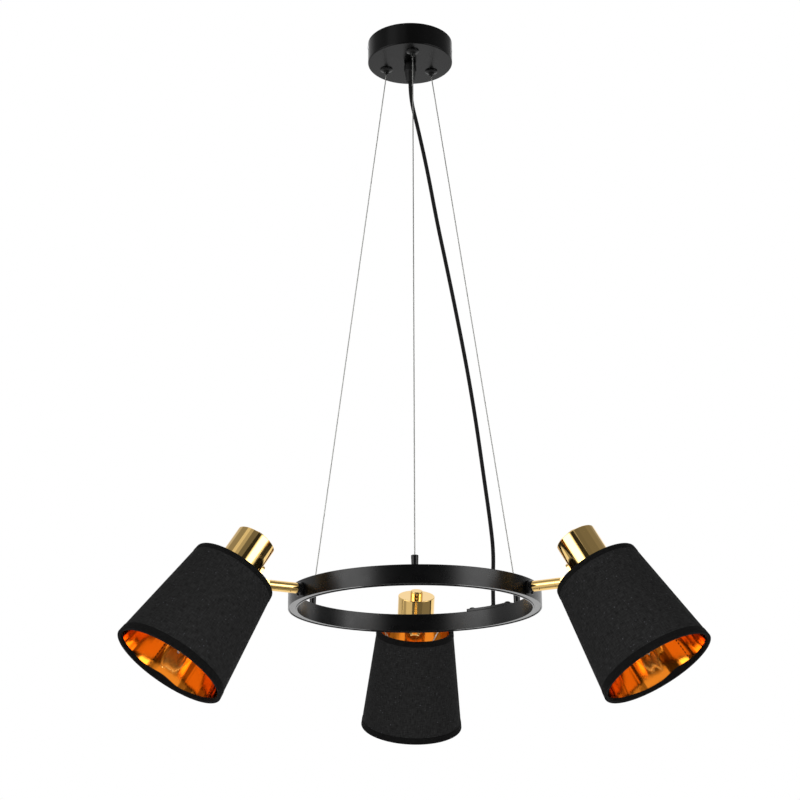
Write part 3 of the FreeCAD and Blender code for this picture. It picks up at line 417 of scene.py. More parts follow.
def foil(name, colour, low, high):
    """Metallised film with long soft creases."""
    made, tree, shader = finish(name, Metallic=1.0, Base_Color=(*colour, 1.0))
    vector = tree.nodes.new("ShaderNodeUVMap")
    vector.uv_map = "wrap"
    mapping = tree.nodes.new("ShaderNodeMapping")
    mapping.inputs["Scale"].default_value = (22.0, 5.0, 1.0)
    tree.links.new(vector.outputs["UV"], mapping.inputs["Vector"])
    crease = tree.nodes.new("ShaderNodeTexNoise")
    crease.inputs["Scale"].default_value = 1.0
    crease.inputs["Detail"].default_value = 1.0
    tree.links.new(mapping.outputs[0], crease.inputs["Vector"])
    bump(tree, shader, crease.outputs["Fac"], 0.05, 0.004)
    gloss = place_group(tree, CLOUD, object_vector(tree), Scale=50.0, Low=low, High=high)
    tree.links.new(gloss.outputs["Value"], shader.inputs["Roughness"])
    return made


def clear_glass():
    return finish("clear_glass", Roughness=0.0, IOR=1.5, Transmission_Weight=1.0,
                  Base_Color=(1.0, 1.0, 1.0, 1.0))[0]


SATIN_BLACK = mottled("satin_black", (0.0022, 0.0022, 0.0023), 0.0, 0.25, 0.31, skin=(1400.0, 0.05),
                      Specular_IOR_Level=0.31)
# A darker, less shiny copy of the satin black for the canopy alone: painted shade that dims it.
CANOPY_SHADED_BLACK = mottled("canopy_shaded_black", (0.0015, 0.0015, 0.0015), 0.0, 0.21, 0.27, skin=(1400.0, 0.05),
                       Specular_IOR_Level=0.17)
# A lighter, glossier copy of the satin black for faces that look down; its lighter colour is a painted sheen
# standing in for the pale floor's reflection.
UNDERSIDE_PAINTED_SHEEN = mottled("underside_painted_sheen", (0.010, 0.010, 0.010), 0.0, 0.10, 0.14)
GLOSS_BLACK = mottled("gloss_black", (0.003, 0.003, 0.003), 0.0, 0.20, 0.28, Specular_IOR_Level=0.25)
BLACK_PLASTIC = mottled("black_plastic", (0.005, 0.005, 0.005), 0.0, 0.45, 0.55, skin=(2600.0, 0.10),
                        Specular_IOR_Level=0.2)
CORD_BLACK = mottled("cord_black", (0.006, 0.006, 0.0062), 0.0, 0.58, 0.66, patch=120.0,
                     Specular_IOR_Level=0.12)
GOLD = mottled("polished_gold", (0.91, 0.61, 0.22), 1.0, 0.04, 0.08, patch=90.0)
STEEL = mottled("steel_wire", (0.40, 0.40, 0.385), 1.0, 0.34, 0.42, patch=300.0)
ZINC = mottled("zinc_steel", (0.66, 0.66, 0.68), 1.0, 0.34, 0.5, patch=160.0)
CAP_METAL = mottled("cap_metal", (0.78, 0.77, 0.74), 1.0, 0.22, 0.32, patch=200.0)
WHITE_PAINT = mottled("white_paint", (0.92, 0.92, 0.90), 0.0, 0.3, 0.4, patch=120.0)
WHITE_PLASTIC = mottled("white_plastic", (0.78, 0.78, 0.75), 0.0, 0.45, 0.55)
FILAMENT = mottled("filament", (0.55, 0.42, 0.30), 1.0, 0.3, 0.4)
SHADE_CLOTH = woven("shade_cloth", (0.010, 0.010, 0.010), (0.030, 0.030, 0.0302), 0.0006, 0.6, 0.05,
                    lint=0.10)
TRIM_CLOTH = woven("trim_cloth", (0.004, 0.004, 0.004), (0.009, 0.009, 0.009), 0.0008, 0.4, 0.04)
COPPER_FOIL = foil("copper_foil", (0.92, 0.485, 0.13), 0.06, 0.10)
GLASS = clear_glass()


# Canopy and what comes out of it

def canopy_shell():
    inside, floor = CANOPY_RADIUS - CANOPY_WALL, CANOPY_WALL - CANOPY_HEIGHT
    shell = turned([(0, -CANOPY_HEIGHT), (CANOPY_RADIUS, -CANOPY_HEIGHT, 1.4), (CANOPY_RADIUS, 0, 0.2),
                    (inside, 0, 0.2), (inside, floor, 0.6), (0, floor)], turns=160)
    # The canopy takes the darker copy of the black, painted shade.
    fit(piece("canopy_shell", shell), "root", "satin_black", CANOPY_SHADED_BLACK, "canopy")


def wire_grippers():
    """Dished collars under the canopy, each with a nozzle for its wire and a stem up through the canopy."""
    rim, nozzle, stem, bore = 8.2, 2.5, 3.9, 0.87
    for number, azimuth in enumerate(WIRE_AZIMUTHS):
        body = turned([
            (bore, -GRIPPER_DROP), (nozzle, -GRIPPER_DROP, 0.5), (nozzle, -5.3, 1.0), (4.4, -3.2, 1.2),
            (7.2, -1.9, 1.0), (rim, -1.1, 0.4), (rim, 0, 0.1), (stem, 0), (stem, GRIPPER_STEM, 0.4),
            (bore, GRIPPER_STEM)], turns=48)
        place = spin_z(azimuth + CANOPY_TURN) @ shift(x=GRIPPER_PITCH, z=-CANOPY_HEIGHT)
        fit(piece(f"wire_gripper_{number + 1}", body, place), "root", "satin_black", GLOSS_BLACK,
            "wire_grippers")


def cord_grip():
    """The cord's plastic grip: a stem, a shoulder, a band with a set screw and a long tapering tip."""
    band, shoulder, stem, stem_top = 8.0, 7.4, 4.9, 8.5
    grip = turned([
        (CORD_BORE, -GRIP_LENGTH), (5.0, -GRIP_LENGTH, 0.8), (5.6, -23.5, 0.4), (7.0, -12.6, 0.5),
        (band, -11.5, 0.5), (band, -3.2, 0.5), (shoulder, -2.9, 0.3), (shoulder, 0), (stem, 0),
        (stem, stem_top, 0.4), (CORD_BORE, stem_top)], turns=64)
    screw = turned([(0, 0.3), (SMALL_SCREW, 0.3, 0.25), (SMALL_SCREW, -1.0), (0, -1.0)], turns=24)
    screw.transform(spin_z(215.0) @ shift(x=band - 0.1, z=-7.2) @ SIDEWAYS)
    fit(piece("cord_grip_body", [grip, screw], shift(z=-CANOPY_HEIGHT)), "root", "black_plastic",
        BLACK_PLASTIC, "cord_grip")


def hidden_parts():
    """What the canopy and the ring hide keeps its own shape and only gets a finish."""
    for node in ("canopy_fasteners", "ceiling_bracket"):
        coat(node, ZINC)
    coat("terminal_block", WHITE_PLASTIC)
    coat("inner_wiring", CORD_BLACK)


def rope(start, end, radius=0.75, lay=9.0, strands=6):
    """A twisted steel rope between two points: a fluted section screwed along the run."""
    run = Vector(end) - Vector(start)
    steps = int(run.length / (lay / 8))
    bm = bmesh.new()
    section = []
    for k in range(strands * 3):
        angle = math.tau * k / (strands * 3)
        reach = radius if k % 3 else radius * 0.72
        section.append(bm.verts.new((reach * math.cos(angle), reach * math.sin(angle), 0)))
    for first, second in zip(section, section[1:] + section[:1]):
        bm.edges.new((first, second))
    bmesh.ops.spin(bm, geom=bm.verts[:] + bm.edges[:], cent=(0, 0, 0), axis=(0, 0, 1),
                   angle=math.tau * run.length / lay, steps=steps, dvec=(0, 0, run.length / steps),
                   use_merge=False, use_duplicate=False)
    bmesh.ops.holes_fill(bm, edges=[edge for edge in bm.edges if edge.is_boundary])
    bmesh.ops.recalc_face_normals(bm, faces=bm.faces)
    aim = Vector((0, 0, 1)).rotation_difference(run).to_matrix().to_4x4()
    bm.transform(Matrix.Translation(start) @ aim)
    return bm


def suspension_wires():
    """Each wire shows as a rope and goes on as a plain core into its gripper and its ferrule."""
    core, tail = 0.7, 2.0
    nozzle = -CANOPY_HEIGHT - GRIPPER_DROP
    landing = RING_LEVEL + RING_TOP + FERRULE_HEIGHT
    for number, azimuth in enumerate(WIRE_AZIMUTHS):
        top = spin_z(azimuth + CANOPY_TURN) @ Vector((GRIPPER_PITCH, 0, nozzle))
        foot = spin_z(azimuth) @ Vector((RING_MIDDLE, 0, landing))
        held = top + Vector((0, 0, GRIPPER_DROP + GRIPPER_STEM + tail))
        sunk = foot - Vector((0, 0, FERRULE_HEIGHT - FERRULE_FLOOR - END_GAP))
        shapes = [rope(top, foot), rod_mesh(top, held, core), rod_mesh(foot, sunk, core)]
        fit(piece(f"suspension_wire_{number + 1}", shapes), "root", "steel_wire", STEEL, "suspension_wires")


# The cord's route: distance from the lamp's centre line and height, chosen from the way it hangs
CORD_ROUTE = [
    (0.0, -56.2), (0.0, -79.3), (13.3, -115.3), (31.0, -170.3), (48.8, -238.8),
    (66.5, -296.3), (86.5, -365.4), (105.0, -434.3), (119.5, -499.3), (131.5, -564.3),
    (141.6, -617.3), (147.5, -659.3), (144.5, -698.8), (144.5, -726.75),
]


def power_cord():
    """The free cord from the canopy to the ring, through the route's own points."""
    bearing = spin_z(CORD_PLANE)
    curve = bpy.data.curves.new("power_cord_line", "CURVE")
    curve.dimensions = "3D"
    spline = curve.splines.new("NURBS")
    spline.points.add(len(CORD_ROUTE) - 1)
    for point, (out, height) in zip(spline.points, CORD_ROUTE):
        point.co = (*(bearing @ Vector((out, 0, height)) * MM), 1.0)
    spline.order_u = 3
    spline.use_endpoint_u = True
    spline.resolution_u = 16
    curve.bevel_depth = CORD_RADIUS * MM
    curve.bevel_resolution = 6
    curve.use_fill_caps = True
    cord = bpy.data.objects.new("supply_cord", curve)
    bpy.context.collection.objects.link(cord)
    fit(cord, "root", "black_plastic", CORD_BLACK, "power_cord")


# Ring

def ring_body():
    """A channel that is open at its underside, whose faces that look down are glossier and a lighter black: a
    painted sheen for the pale floor's reflection.
    """
    top, edge = RING_TOP, 0.35
    inner_wall, outer_wall = RING_INNER + RING_WALL, RING_RADIUS - RING_WALL
    channel = turned([
        (RING_INNER, -top, edge), (inner_wall, -top, edge), (inner_wall, top - RING_WALL),
        (outer_wall, top - RING_WALL), (outer_wall, -top, edge), (RING_RADIUS, -top, edge),
        (RING_RADIUS, top, 0.6), (RING_INNER, top, 0.6)], turns=240)
    body = fit(piece("ring_body", channel, ring_place()), "root", "satin_black", SATIN_BLACK, "ring_channel")
    body.data.materials.append(UNDERSIDE_PAINTED_SHEEN)
    # Faces that look down get the lighter black, a painted sheen.
    for face in body.data.polygons:
        if face.normal.z < -0.5:
            face.material_index = 1


def ring_strip():
    """The strip that closes the channel, a little above its lower edges."""
    low, sheet = 0.8 - RING_TOP, 1.5
    start, end = RING_INNER + RING_WALL + SEAT_GAP, RING_RADIUS - RING_WALL - SEAT_GAP
    strip = turned([(start, low, 0.2), (end, low, 0.2), (end, low + sheet), (start, low + sheet)], turns=240)
    # The strip wears the lighter underside black, a painted sheen for the floor's reflection.
    fit(piece("ring_strip", strip, ring_place()), "root", "satin_black", UNDERSIDE_PAINTED_SHEEN, "ring_cover_strip")


def wire_ferrules():
    for number, azimuth in enumerate(WIRE_AZIMUTHS):
        ferrule = turned([
            (0.9, FERRULE_FLOOR), (0.9, FERRULE_HEIGHT, 0.1), (4.25, FERRULE_HEIGHT, 0.8), (3.87, 0.3, 0.1),
            (3.7, 0), (2.0, 0), (2.0, -3.0), (0, -3.0), (0, FERRULE_FLOOR)], turns=48)
        fit(piece(f"wire_ferrule_{number + 1}", ferrule, ring_place(azimuth, RING_MIDDLE, RING_TOP)), "root",
            "satin_black", GLOSS_BLACK, "wire_ferrules")


def junction_cover():
    """The curved plate on the ring where the cord lands, with the cord's bush and the screws beside it."""
    start, end = RING_INNER + SEAT_GAP, RING_RADIUS - SEAT_GAP
    plate = turned([(start, 0, 0.15), (end, 0, 0.15), (end, COVER_SHEET, 0.4), (start, COVER_SHEET, 0.4)],
                   turns=40, sweep=COVER_SWEEP)
    fit(piece("cover_plate", plate, ring_place(COVER_CENTRE, up=RING_TOP)), "root", "satin_black",
        SATIN_BLACK, "junction_cover")
    stem, rim = 3.1, 3.6
    bush = turned([
        (CORD_BORE, -4.2), (stem, -4.2), (stem, 0), (rim, 0, 0.1), (rim, 0.7, 0.3), (stem, BUSH_HEIGHT, 0.3),
        (CORD_BORE, BUSH_HEIGHT, 0.1)], turns=48)
    place = ring_place(CORD_PLANE, RING_MIDDLE, RING_TOP + COVER_SHEET)
    fit(piece("bush_body", bush, place), "root", "black_plastic", BLACK_PLASTIC, "cord_bush")
    coat("ring_screws", SATIN_BLACK)


# Arms: local Z is the distance from the lamp's centre line

def arm_collar(side, place):
    bore, face = ARM_RADIUS + 0.05, RING_RADIUS
    sleeve, flange, end = 6.9, 7.4, RING_RADIUS + 6.5
    collar = turned([
        (bore, face - 2.7), (bore + 0.7, face - 2.7), (bore + 0.7, face), (flange, face, 0.1),
        (flange, face + 2.4, 0.5), (sleeve, face + 2.5, 0.15), (sleeve, face + 5.8, 0.3),
        (6.6, face + 6.2, 0.2), (6.55, end, 0.1), (bore, end, 0.1)], turns=64)
    fit(piece(f"arm_collar_{side}", collar, place), "root", "satin_black", GLOSS_BLACK, f"collar_{side}")


def arm_sleeve(side, place):
    bore, start, end = ARM_RADIUS - 1.0, RING_RADIUS - 2.6, RING_RADIUS + 35.9
    tube = turned([(bore, start), (ARM_RADIUS, start, 0.2), (ARM_RADIUS, end, 0.15), (bore, end)], turns=64)
    fit(piece(f"arm_sleeve_{side}", tube, place), f"arm_{side}", "polished_gold", GOLD, f"arm_tube_{side}")


def arm_set_screw(side, place):
    """The rounded end of the arm's small set screw, just proud of the tube."""
    radius, distance = 1.45, RING_RADIUS + 14.5
    screw = turned([(0, 0.35), (radius, 0.35, 0.25), (radius, -0.3), (0, -0.3)], turns=24)
    seat = place @ spin_z(ARM_SCREW_ANGLES[side]) @ shift(z=distance) @ SIDEWAYS @ shift(z=ARM_RADIUS)
    fit(piece(f"arm_set_screw_{side}", screw, seat), f"arm_{side}", "polished_gold", GOLD)


def arms():
    for side in SIDES:
        place = arm_place(side)
        arm_collar(side, place)
        arm_sleeve(side, place)
        arm_set_screw(side, place)
        for node in ("arm_screws", "knuckle_fork", "knuckle_tongue", "cup_screw"):
            coat(f"{node}_{side}", GOLD)


# Heads: local Z is the head's own axis, with 0 at the shade's top

def wall_at(depth, inset=0.0):
    """The shade's outer radius at a depth below its top, drawn in by an inset."""
    return SHADE_TOP + (SHADE_MOUTH - SHADE_TOP) * depth / SHADE_HEIGHT - inset


def cup(side, place):
    """The gold cup over the lampholder and the nut that holds it."""
    rim, wall = 6.0, 1.0
    inside = CUP_RADIUS - wall
    shell = turned([
        (STUD_BORE, CUP_TOP), (CUP_RADIUS, CUP_TOP, 0.9), (CUP_RADIUS, rim, 0.4), (inside, rim, 0.4),
        (inside, CUP_TOP - wall, 0.5), (STUD_BORE, CUP_TOP - wall)], turns=128)
    fit(piece(f"cup_shell_{side}", shell, place), f"head_{side}", "polished_gold", GOLD, f"cup_{side}")
    radius, seat, end = 7.9, CUP_TOP + 0.02, CUP_TOP + 7.3
    nut = turned([
        (0, end), (radius, end, 1.0), (radius, seat, 0.2), (STUD_BORE, seat), (STUD_BORE, end - 3.0),
        (0, end - 3.0)], turns=64)
    fit(piece(f"finial_{side}", nut, place), f"head_{side}", "polished_gold", GOLD, f"finial_nut_{side}")


def lampholder(side, place):
    """The lampholder with its flange on the shade's hub, and the threaded ring that clamps the hub."""
    upper = (HUB_SHEET + SEAT_GAP) / 2 - SPIDER_DEPTH
    lower = -(HUB_SHEET + SEAT_GAP) / 2 - SPIDER_DEPTH
    body, skirt, socket, stud = 13.5, 12.5, 12.3, 5.0
    holder = turned([
        (11.0, upper - 9, 0.3), (skirt, upper - 9, 0.4), (skirt, upper), (15.0, upper, 0.3),
        (15.0, upper + 2, 0.4), (body, upper + 2), (body, 8.0, 2.5), (9.4, 12.0, 1.0), (stud, 12.0),
        (stud, 42.5), (8.5, 42.5, 0.3), (8.5, 45.5), (stud, 45.5), (stud, 50.5, 0.3), (3.5, 50.5),
        (3.5, 10.8), (8.2, 10.8), (socket, 7.4), (socket, -41.0), (9.25, -41.0), (9.25, -15.2), (0, -15.2),
        (0, -17.2), (7.25, -17.2), (7.25, -44.0), (11.0, -44.0)], turns=96)
    fit(piece(f"holder_shell_{side}", holder, place), f"head_{side}", "polished_gold", GOLD,
        f"lampholder_{side}")
    bore, flange, knurl, step, end = 12.6, 17.0, 16.2, lower - 1.5, lower - 5.5
    nut = turned([
        (bore, lower), (flange, lower, 0.4), (flange, step, 0.3), (knurl, step - 0.4, 0.3), (knurl, end, 0.5),
        (bore, end, 0.3)], turns=96)
    fit(piece(f"ring_nut_{side}", nut, place), f"head_{side}", "polished_gold", GOLD, f"shade_ring_{side}")


def wire_ring(radius, thick, height, turns=128):
    """A round wire bent into a ring."""
    bm = bmesh.new()
    bmesh.ops.create_circle(bm, segments=16, radius=thick, matrix=shift(x=radius, z=height)
                            @ Matrix.Rotation(math.radians(90), 4, "X"))
    bmesh.ops.spin(bm, geom=bm.verts[:] + bm.edges[:], cent=(0, 0, 0), axis=(0, 0, 1), angle=math.tau,
                   steps=turns, use_merge=True, use_duplicate=False)
    bmesh.ops.remove_doubles(bm, verts=bm.verts, dist=1e-4)
    bmesh.ops.recalc_face_normals(bm, faces=bm.faces)
    return bm


def shade_frame(side, place):
    """The shade's wires: a ring at its top and at its mouth, and three arms down to a flat hub."""
    depth, inset, bore = 1.9, 2.5, 12.8
    top, mouth = wall_at(0, inset), wall_at(SHADE_HEIGHT - depth, inset)
    low, high = -SPIDER_DEPTH - HUB_SHEET / 2, HUB_SHEET / 2 - SPIDER_DEPTH
    hub = turned([(bore, low, 0.2), (HUB_RIM, low, 0.3), (HUB_RIM, high, 0.3), (bore, high, 0.2)], turns=96)
    shapes = [wire_ring(top, 1.2, -depth), wire_ring(mouth, 1.2, depth - SHADE_HEIGHT), hub]
    for number in range(3):
        heading = spin_z(SPIDER_TURN + 120 * number)
        foot = heading @ Vector((HUB_RIM - 1, 0, -SPIDER_DEPTH))
        shapes.append(rod_mesh(heading @ Vector((top, 0, -depth)), foot, 1.0))
    fit(piece(f"shade_wires_{side}", shapes, place), f"head_{side}", "white_wire", WHITE_PAINT,
        f"shade_frame_{side}")


def hem_wave(side):
    """Lets the inner edge of the bottom hem run unevenly, most of all beside the seam."""
    seam = math.radians(SEAM_HEADING[side])
    away = 1.0 if side == "right" else -1.0
    before, after, pull, wander = 0.2, 0.75, 3.2, 0.6

    def deform(spot):
        if spot.z < -SHADE_HEIGHT + 3.0 or math.hypot(spot.x, spot.y) > wall_at(SHADE_HEIGHT, 3.6):
            return spot
        angle = math.atan2(spot.y, spot.x)
        past = ((angle - seam) * away + math.pi) % math.tau - math.pi
        sag = wander * noise.noise(Vector((math.cos(angle) * 3, math.sin(angle) * 3, HEM_SEED)))
        if -before < past < after:
            sag += pull * math.sin((past + before) / (before + after) * math.pi) ** 2
        return Vector((spot.x, spot.y, spot.z + sag))

    return deform


def shade_cloth(side, place):
    outside, inside, start, end = 0.4, 1.2, 1.0, SHADE_HEIGHT - 1.0
    cloth = turned([
        (wall_at(start, outside), -start), (wall_at(end, outside), -end), (wall_at(end, inside), -end),
        (wall_at(start, inside), -start)], turns=192, uv_radius=58.0)
    fit(piece(f"shade_cloth_{side}", cloth, place), f"head_{side}", "black_fabric", SHADE_CLOTH,
        f"shade_{side}")


def shade_trims(side, place):
    """The tapes that are folded over the top wire and the mouth wire."""
    lip, tape, fold = 4.6, 0.5, 0.8
    top, band, turn = SHADE_TOP, 6.5, 4.4
    top_tape = turned([
        (top, 0, 0.9), (wall_at(band), -band, 0.15), (wall_at(band, tape), -band),
        (wall_at(fold, tape), -fold), (top - lip + tape, -fold, 0.2), (top - lip + tape, -turn),
        (top - lip, -turn), (top - lip, 0, 0.9)], turns=192, uv_radius=50.0)
    low, mouth, band, turn = -SHADE_HEIGHT, SHADE_MOUTH, 8.5, 4.7
    start = SHADE_HEIGHT - band
    bottom_tape = turned([
        (wall_at(start), low + band, 0.15), (mouth, low, 0.9), (mouth - lip, low, 0.9),
        (mouth - lip, low + turn, 0.1), (mouth - lip + tape, low + turn, 0.1),
        (mouth - lip + tape, low + fold), (mouth - tape, low + fold), (wall_at(start, tape), low + band)],
        turns=192, uv_radius=66.0, deform=hem_wave(side))
    for name, cloth in (("top", top_tape), ("mouth", bottom_tape)):
        fit(piece(f"{name}_trim_{side}", cloth, place), f"head_{side}", "black_fabric", TRIM_CLOTH,
            f"shade_{side}")


def ripple(spot):
    """Long flutes in the lining, so that its reflections break into upright bands."""
    angle = math.atan2(spot.y, spot.x)
    swell = noise.noise(Vector((math.cos(angle) * 2.6, math.sin(angle) * 2.6, spot.z * 0.006)))
    swell += 0.5 * noise.noise(Vector((math.cos(angle) * 6.0, math.sin(angle) * 6.0, spot.z * 0.012 + 7.0)))
    pull = 1.0 - (0.45 + 0.45 * swell) / math.hypot(spot.x, spot.y)
    return Vector((spot.x * pull, spot.y * pull, spot.z))


def lining(side, place):
    """The metallised film inside the cloth, and the row of stitches along its seam."""
    skin, sheet, end, steps = 1.35, 0.3, 3.7, 12
    depths = [end + (SHADE_HEIGHT - 2 * end) * k / steps for k in range(steps + 1)]
    corners = [(wall_at(depth, skin), -depth) for depth in depths]
    corners += [(wall_at(depth, skin + sheet), -depth) for depth in reversed(depths)]
    film = turned(corners, turns=256, uv_radius=58.0, deform=ripple)
    fit(piece(f"lining_film_{side}", film, place), f"head_{side}", "copper_lining", COPPER_FOIL,
        f"shade_lining_{side}")

    heading, inset = spin_z(SEAM_HEADING[side]), skin + sheet + 0.75
    count, first, pitch, length = 30, 6.0, 4.1, 2.3
    stitches = []
    for k in range(count):
        start = first + pitch * k
        ends = [heading @ Vector((wall_at(depth, inset), 0, -depth)) for depth in (start, start + length)]
        stitches.append(rod_mesh(*ends, 0.38, sides=8))
    fit(piece(f"seam_stitches_{side}", stitches, place), f"head_{side}", "black_fabric", TRIM_CLOTH)


# Bulbs: local Z has 0 where the glass comes out of its cap, and the tip points down

def bulb_profile(inset):
    """Candle bulb from neck to tip: a long arc out to the belly and a tapering end."""
    neck, belly, tip_depth = 6.25 - inset, 17.5 - inset, 71.6 - inset
    return [(neck, 1.2), (neck + 0.6, -3.0, 2.0), (belly - 2.4, -18.0, 9.0), (belly, -34.0, 12.0),
            (belly - 4.2, -51.0, 6.0), (1.9 - inset * 0.6, -tip_depth + 1.6, 1.0), (0, -tip_depth)]


def bulb_glass(side, seat):
    outside, inside = bulb_profile(0.0), bulb_profile(0.8)
    envelope = turned(outside[::-1] + [(6.25, 4.8), (5.45, 4.8)] + inside, turns=72)
    fit(piece(f"bulb_envelope_{side}", envelope, seat), f"head_{side}", "clear_glass", GLASS,
        f"bulb_glass_{side}")
    stem = turned([(0, -8.0), (1.3, -8.0, 0.5), (2.6, -1.0, 1.0), (5.0, 5.6), (0, 5.6)], turns=32)
    fit(piece(f"bulb_stem_{side}", stem, seat), f"head_{side}", "clear_glass", GLASS, f"bulb_glass_{side}")


def bulb_filament(side, seat):
    """Two supports and a coil that sags between them."""
    reach, sag, coil_radius, turns, twist = 7.6, 2.4, 0.5, 40, 60
    ends = [Vector((sign * reach, 0, -11.0)) for sign in (-1, 1)]
    wires = [rod_mesh(Vector((end.x * 0.12, 0, -7.0)), end, 0.25, sides=8) for end in ends]
    previous = ends[0]
    for k in range(1, turns + 1):
        share = k / turns
        spot = ends[0].lerp(ends[1], share) - Vector((0, 0, 4 * sag * share * (1 - share)))
        spot += coil_radius * Vector((0, math.cos(share * twist), math.sin(share * twist)))
        wires.append(rod_mesh(previous, spot, 0.14, sides=6))
        previous = spot
    fit(piece(f"bulb_filament_{side}", wires, seat), f"head_{side}", "clear_glass", FILAMENT,
        f"bulb_glass_{side}")


def bulb_screw_cap(side, seat):
    """The cap with its rolled thread, from the contact at the top down to the rim round the glass."""
    crest, root, pitch, threads, thread_top = 6.95, 6.35, 3.0, 6, 21.6
    corners = [(0, 26.5), (3.1, 26.5, 0.5), (4.5, 24.5, 0.4), (6.5, 23.5, 0.5)]
    for k in range(threads):
        height = thread_top - pitch * k
        corners += [(crest, height, 0.5), (root, height - pitch / 2, 0.5)]
    corners += [(6.9, 3.2, 0.4), (6.9, 1.2, 0.2), (6.4, 1.2), (6.4, 2.0), (5.9, 23.0), (0, 23.9)]
    cap = turned(corners, turns=64)
    fit(piece(f"bulb_screw_cap_{side}", cap, seat), f"head_{side}", "brass_cap", CAP_METAL,
        f"bulb_cap_{side}")


def heads():
    for side in SIDES:
        place = head_place(side)
        cup(side, place)
        lampholder(side, place)
        shade_frame(side, place)
        shade_cloth(side, place)
        shade_trims(side, place)
        lining(side, place)
        seat = place @ shift(z=-BULB_SEAT)
        bulb_glass(side, seat)
        bulb_filament(side, seat)
        bulb_screw_cap(side, seat)


# Studio

def camera():
    """The photograph's viewpoint, solved for an 800 by 800 picture."""
    spot = Vector((-4.0, -2032.7, -1152.7)) * MM
    pan, pitch, roll = math.radians(-0.341), math.radians(18.003), math.radians(-0.370)
    focal_pixels, picture, sensor = 1739.2, 800, 36.0
    ahead = Vector((math.sin(pan) * math.cos(pitch), math.cos(pan) * math.cos(pitch), math.sin(pitch)))
    level = Vector((math.cos(pan), -math.sin(pan), 0))
    up = level.cross(ahead)
    right = level * math.cos(roll) + up * math.sin(roll)
    top = up * math.cos(roll) - level * math.sin(roll)
    data = bpy.data.cameras.new("photo_camera")
    data.sensor_width = sensor
    data.lens = focal_pixels / picture * sensor
    data.clip_start = 0.05
    obj = bpy.data.objects.new("photo_camera", data)
    turned_axes = Matrix((right, top, -ahead)).transposed().to_4x4()
    obj.matrix_world = Matrix.Translation(spot) @ turned_axes
    bpy.context.collection.objects.link(obj)
    bpy.context.scene.camera = obj


STUDIO_CENTRE = Vector((0.0, 0.0, -0.6))
STUDIO_RADIUS = 3.2
FLOOR_LEVEL = -1.7


# Each screen: its name, two azimuths, two elevations and how bright polished surfaces see it
SCREENS = [
    ("front_screen", -33, 33, -14, 28, 0.03),
    ("ceiling_front_left", -34, -11, 28, 80, 0.48),
    ("ceiling_front", -11, 12, 28, 80, 0.18),
    ("ceiling_front_right", 12, 70, 28, 80, 0.20),
    ("ceiling_right", 70, 118, 28, 80, 0.25),
    ("ceiling_left_strip", -62, -34, 36, 80, 0.76),
    ("ceiling_left", -118, -62, 28, 80, 0.31),
    ("ceiling_rear_right", 118, 150, 28, 60, 0.32),
    ("ceiling_rear_left", -150, -118, 28, 60, 0.58),
    ("rear_left", -150, -114, -8, 28, 0.62),
    ("left_gap", -114, -88, -14, 10, 0.36),
    ("right_gap", 88, 120, -16, 14, 0.05),
    ("left_panel", -80, -40, -3, 19, 4.0),
    ("right_panel", 41, 78, -4, 18, 4.0),
]
# Each mat on the floor: its name, two azimuths, two radii and how bright polished surfaces see it
FLOOR_MATS = [
    ("mat_left", -82, -42, 0.9, 3.95, 0.70),
    ("mat_far_left", -118, -82, 0.9, 3.95, 0.42),
    ("mat_front_left", -42, -16, 0.4, 1.7, 0.13),
    ("mat_front", -16, 10, 0.4, 1.5, 0.62),
    ("mat_front_right", 10, 60, 0.4, 1.7, 0.15),
    ("mat_right", 60, 122, 1.0, 3.95, 0.22),
    ("mat_rear", 122, 238, 0.25, 3.95, 1.0),
]


def toward(azimuth, elevation, radius=STUDIO_RADIUS):
    """A point round the lamp: azimuth from the front towards +X, both angles in degrees."""
    turn, rise = math.radians(azimuth), math.radians(elevation)
    return STUDIO_CENTRE + radius * Vector((math.sin(turn) * math.cos(rise), -math.cos(turn) * math.cos(rise),
                                            math.sin(rise)))


def softbox(name, azimuth, elevation, width, height, glow, reach=STUDIO_RADIUS, mirrored=True):
    """A soft lamp whose face is as bright as the glow, so that it mirrors as a plain pale panel."""
    data = bpy.data.lights.new(name, "AREA")
    data.shape = "RECTANGLE"
    data.size, data.size_y = width, height
    data.energy = glow * math.pi * width * height
    obj = bpy.data.objects.new(name, data)
    obj.location = toward(azimuth, elevation, reach)
    obj.rotation_euler = (STUDIO_CENTRE - obj.location).to_track_quat("-Z", "Y").to_euler()
    obj.visible_camera = False
    obj.visible_glossy = mirrored
    bpy.context.collection.objects.link(obj)


def stage_piece(name, bm, cloth, everywhere=False):
    mesh = bpy.data.meshes.new(name)
    bm.to_mesh(mesh)
    bm.free()
    obj = bpy.data.objects.new(name, mesh)
    bpy.context.collection.objects.link(obj)
    mesh.materials.append(cloth)
    if not everywhere:
        obj.visible_camera = obj.visible_diffuse = obj.visible_shadow = obj.visible_transmission = False


def screen_cloth(name, level):
    return finish(f"{name}_cloth", Base_Color=(0.0, 0.0, 0.0, 1.0), Roughness=1.0, Specular_IOR_Level=0.0,
                  Emission_Strength=level, Emission_Color=(1.0, 1.0, 1.0, 1.0))[0]


def screen(name, start, end, low, high, level):
    """A curved screen that only polished surfaces see, between two azimuths and two elevations."""
    steps = 8
    bm = bmesh.new()
    rise = [low + (high - low) * k / steps for k in range(steps + 1)]
    verts = [bm.verts.new(toward(start, angle)) for angle in rise]
    edges = [bm.edges.new(pair) for pair in zip(verts, verts[1:])]
    bmesh.ops.spin(bm, geom=verts + edges, cent=STUDIO_CENTRE, axis=(0, 0, 1),
                   angle=math.radians(end - start), steps=24, use_merge=False, use_duplicate=False)
    stage_piece(name, bm, screen_cloth(name, level))


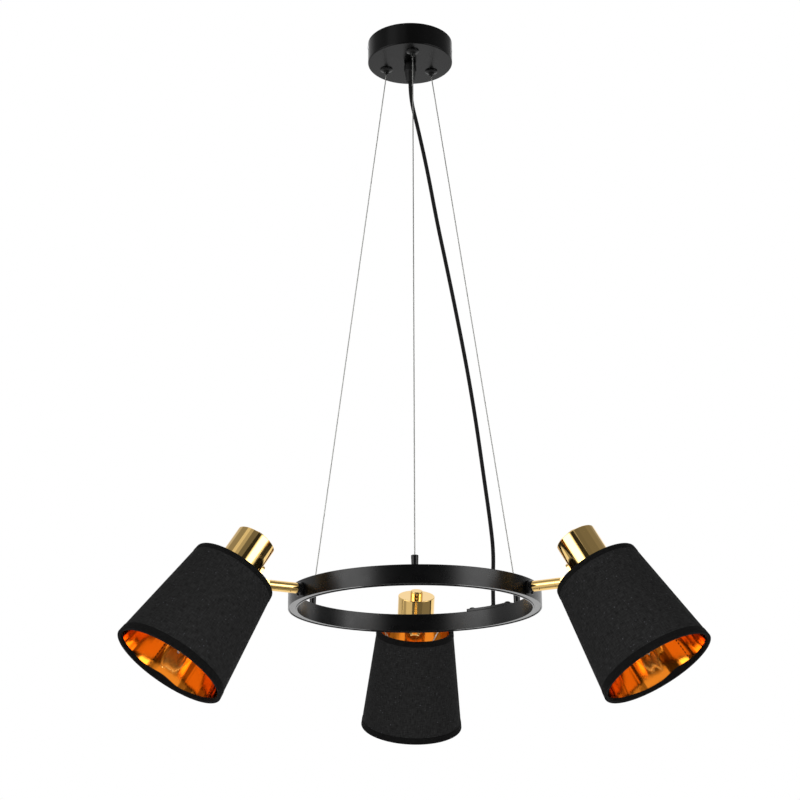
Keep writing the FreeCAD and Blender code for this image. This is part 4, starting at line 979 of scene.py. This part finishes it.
def mat(name, start, end, inner, outer, level):
    """A part of a ring on the floor that only polished surfaces see."""
    bm = bmesh.new()
    height = FLOOR_LEVEL + 0.01
    verts = []
    for reach in (inner, outer):
        aim = toward(start, 0, reach)
        verts.append(bm.verts.new((aim.x, aim.y, height)))
    edge = bm.edges.new(verts)
    bmesh.ops.spin(bm, geom=verts + [edge], cent=(0, 0, height), axis=(0, 0, 1),
                   angle=math.radians(end - start), steps=24, use_merge=False, use_duplicate=False)
    stage_piece(name, bm, screen_cloth(name, level))


def disc(radius, height):
    bm = bmesh.new()
    bmesh.ops.create_circle(bm, cap_ends=True, segments=96, radius=radius)
    bmesh.ops.translate(bm, verts=bm.verts, vec=(0, 0, height))
    return bm


def floor():
    paint = finish("floor_paint", Base_Color=(0.80, 0.80, 0.80, 1.0), Roughness=0.8,
                   Specular_IOR_Level=0.2)[0]
    stage_piece("floor", disc(4.0, FLOOR_LEVEL), paint, everywhere=True)
    bpy.data.objects["floor"].visible_camera = False


def surroundings():
    """A world that is white to look at, in metal and through glass, and lights the lamp only a little."""
    world = bpy.data.worlds.new("studio")
    world.use_nodes = True
    tree = world.node_tree
    background = tree.nodes["Background"]
    background.inputs["Color"].default_value = (1.0, 1.0, 1.0, 1.0)
    rays = tree.nodes.new("ShaderNodeLightPath")
    seen = math_node(tree, "MAXIMUM", rays.outputs["Is Camera Ray"], rays.outputs["Is Glossy Ray"])
    seen = math_node(tree, "MAXIMUM", seen, rays.outputs["Is Transmission Ray"])
    tree.links.new(math_node(tree, "MULTIPLY_ADD", seen, 0.8, 0.2), background.inputs["Strength"])
    bpy.context.scene.world = world


def studio():
    floor()
    for name, start, end, inner, outer, level in FLOOR_MATS:
        mat(name, start, end, inner, outer, level)
    surroundings()
    for name, start, end, low, high, level in SCREENS:
        screen(name, start, end, low, high, level)
    softbox("left_softbox", -60, 8, 2.5, 1.5, 1.5)
    softbox("right_softbox", 58, 8, 2.3, 1.4, 1.5)
    softbox("low_softbox", 0, -21, 1.3, 0.7, 9.0, 2.0, mirrored=False)
    bpy.context.scene.view_settings.view_transform = "Standard"


camera()
power_cord()
canopy_shell()
wire_grippers()
cord_grip()
hidden_parts()
suspension_wires()
ring_body()
ring_strip()
wire_ferrules()
junction_cover()
arms()
heads()
studio()
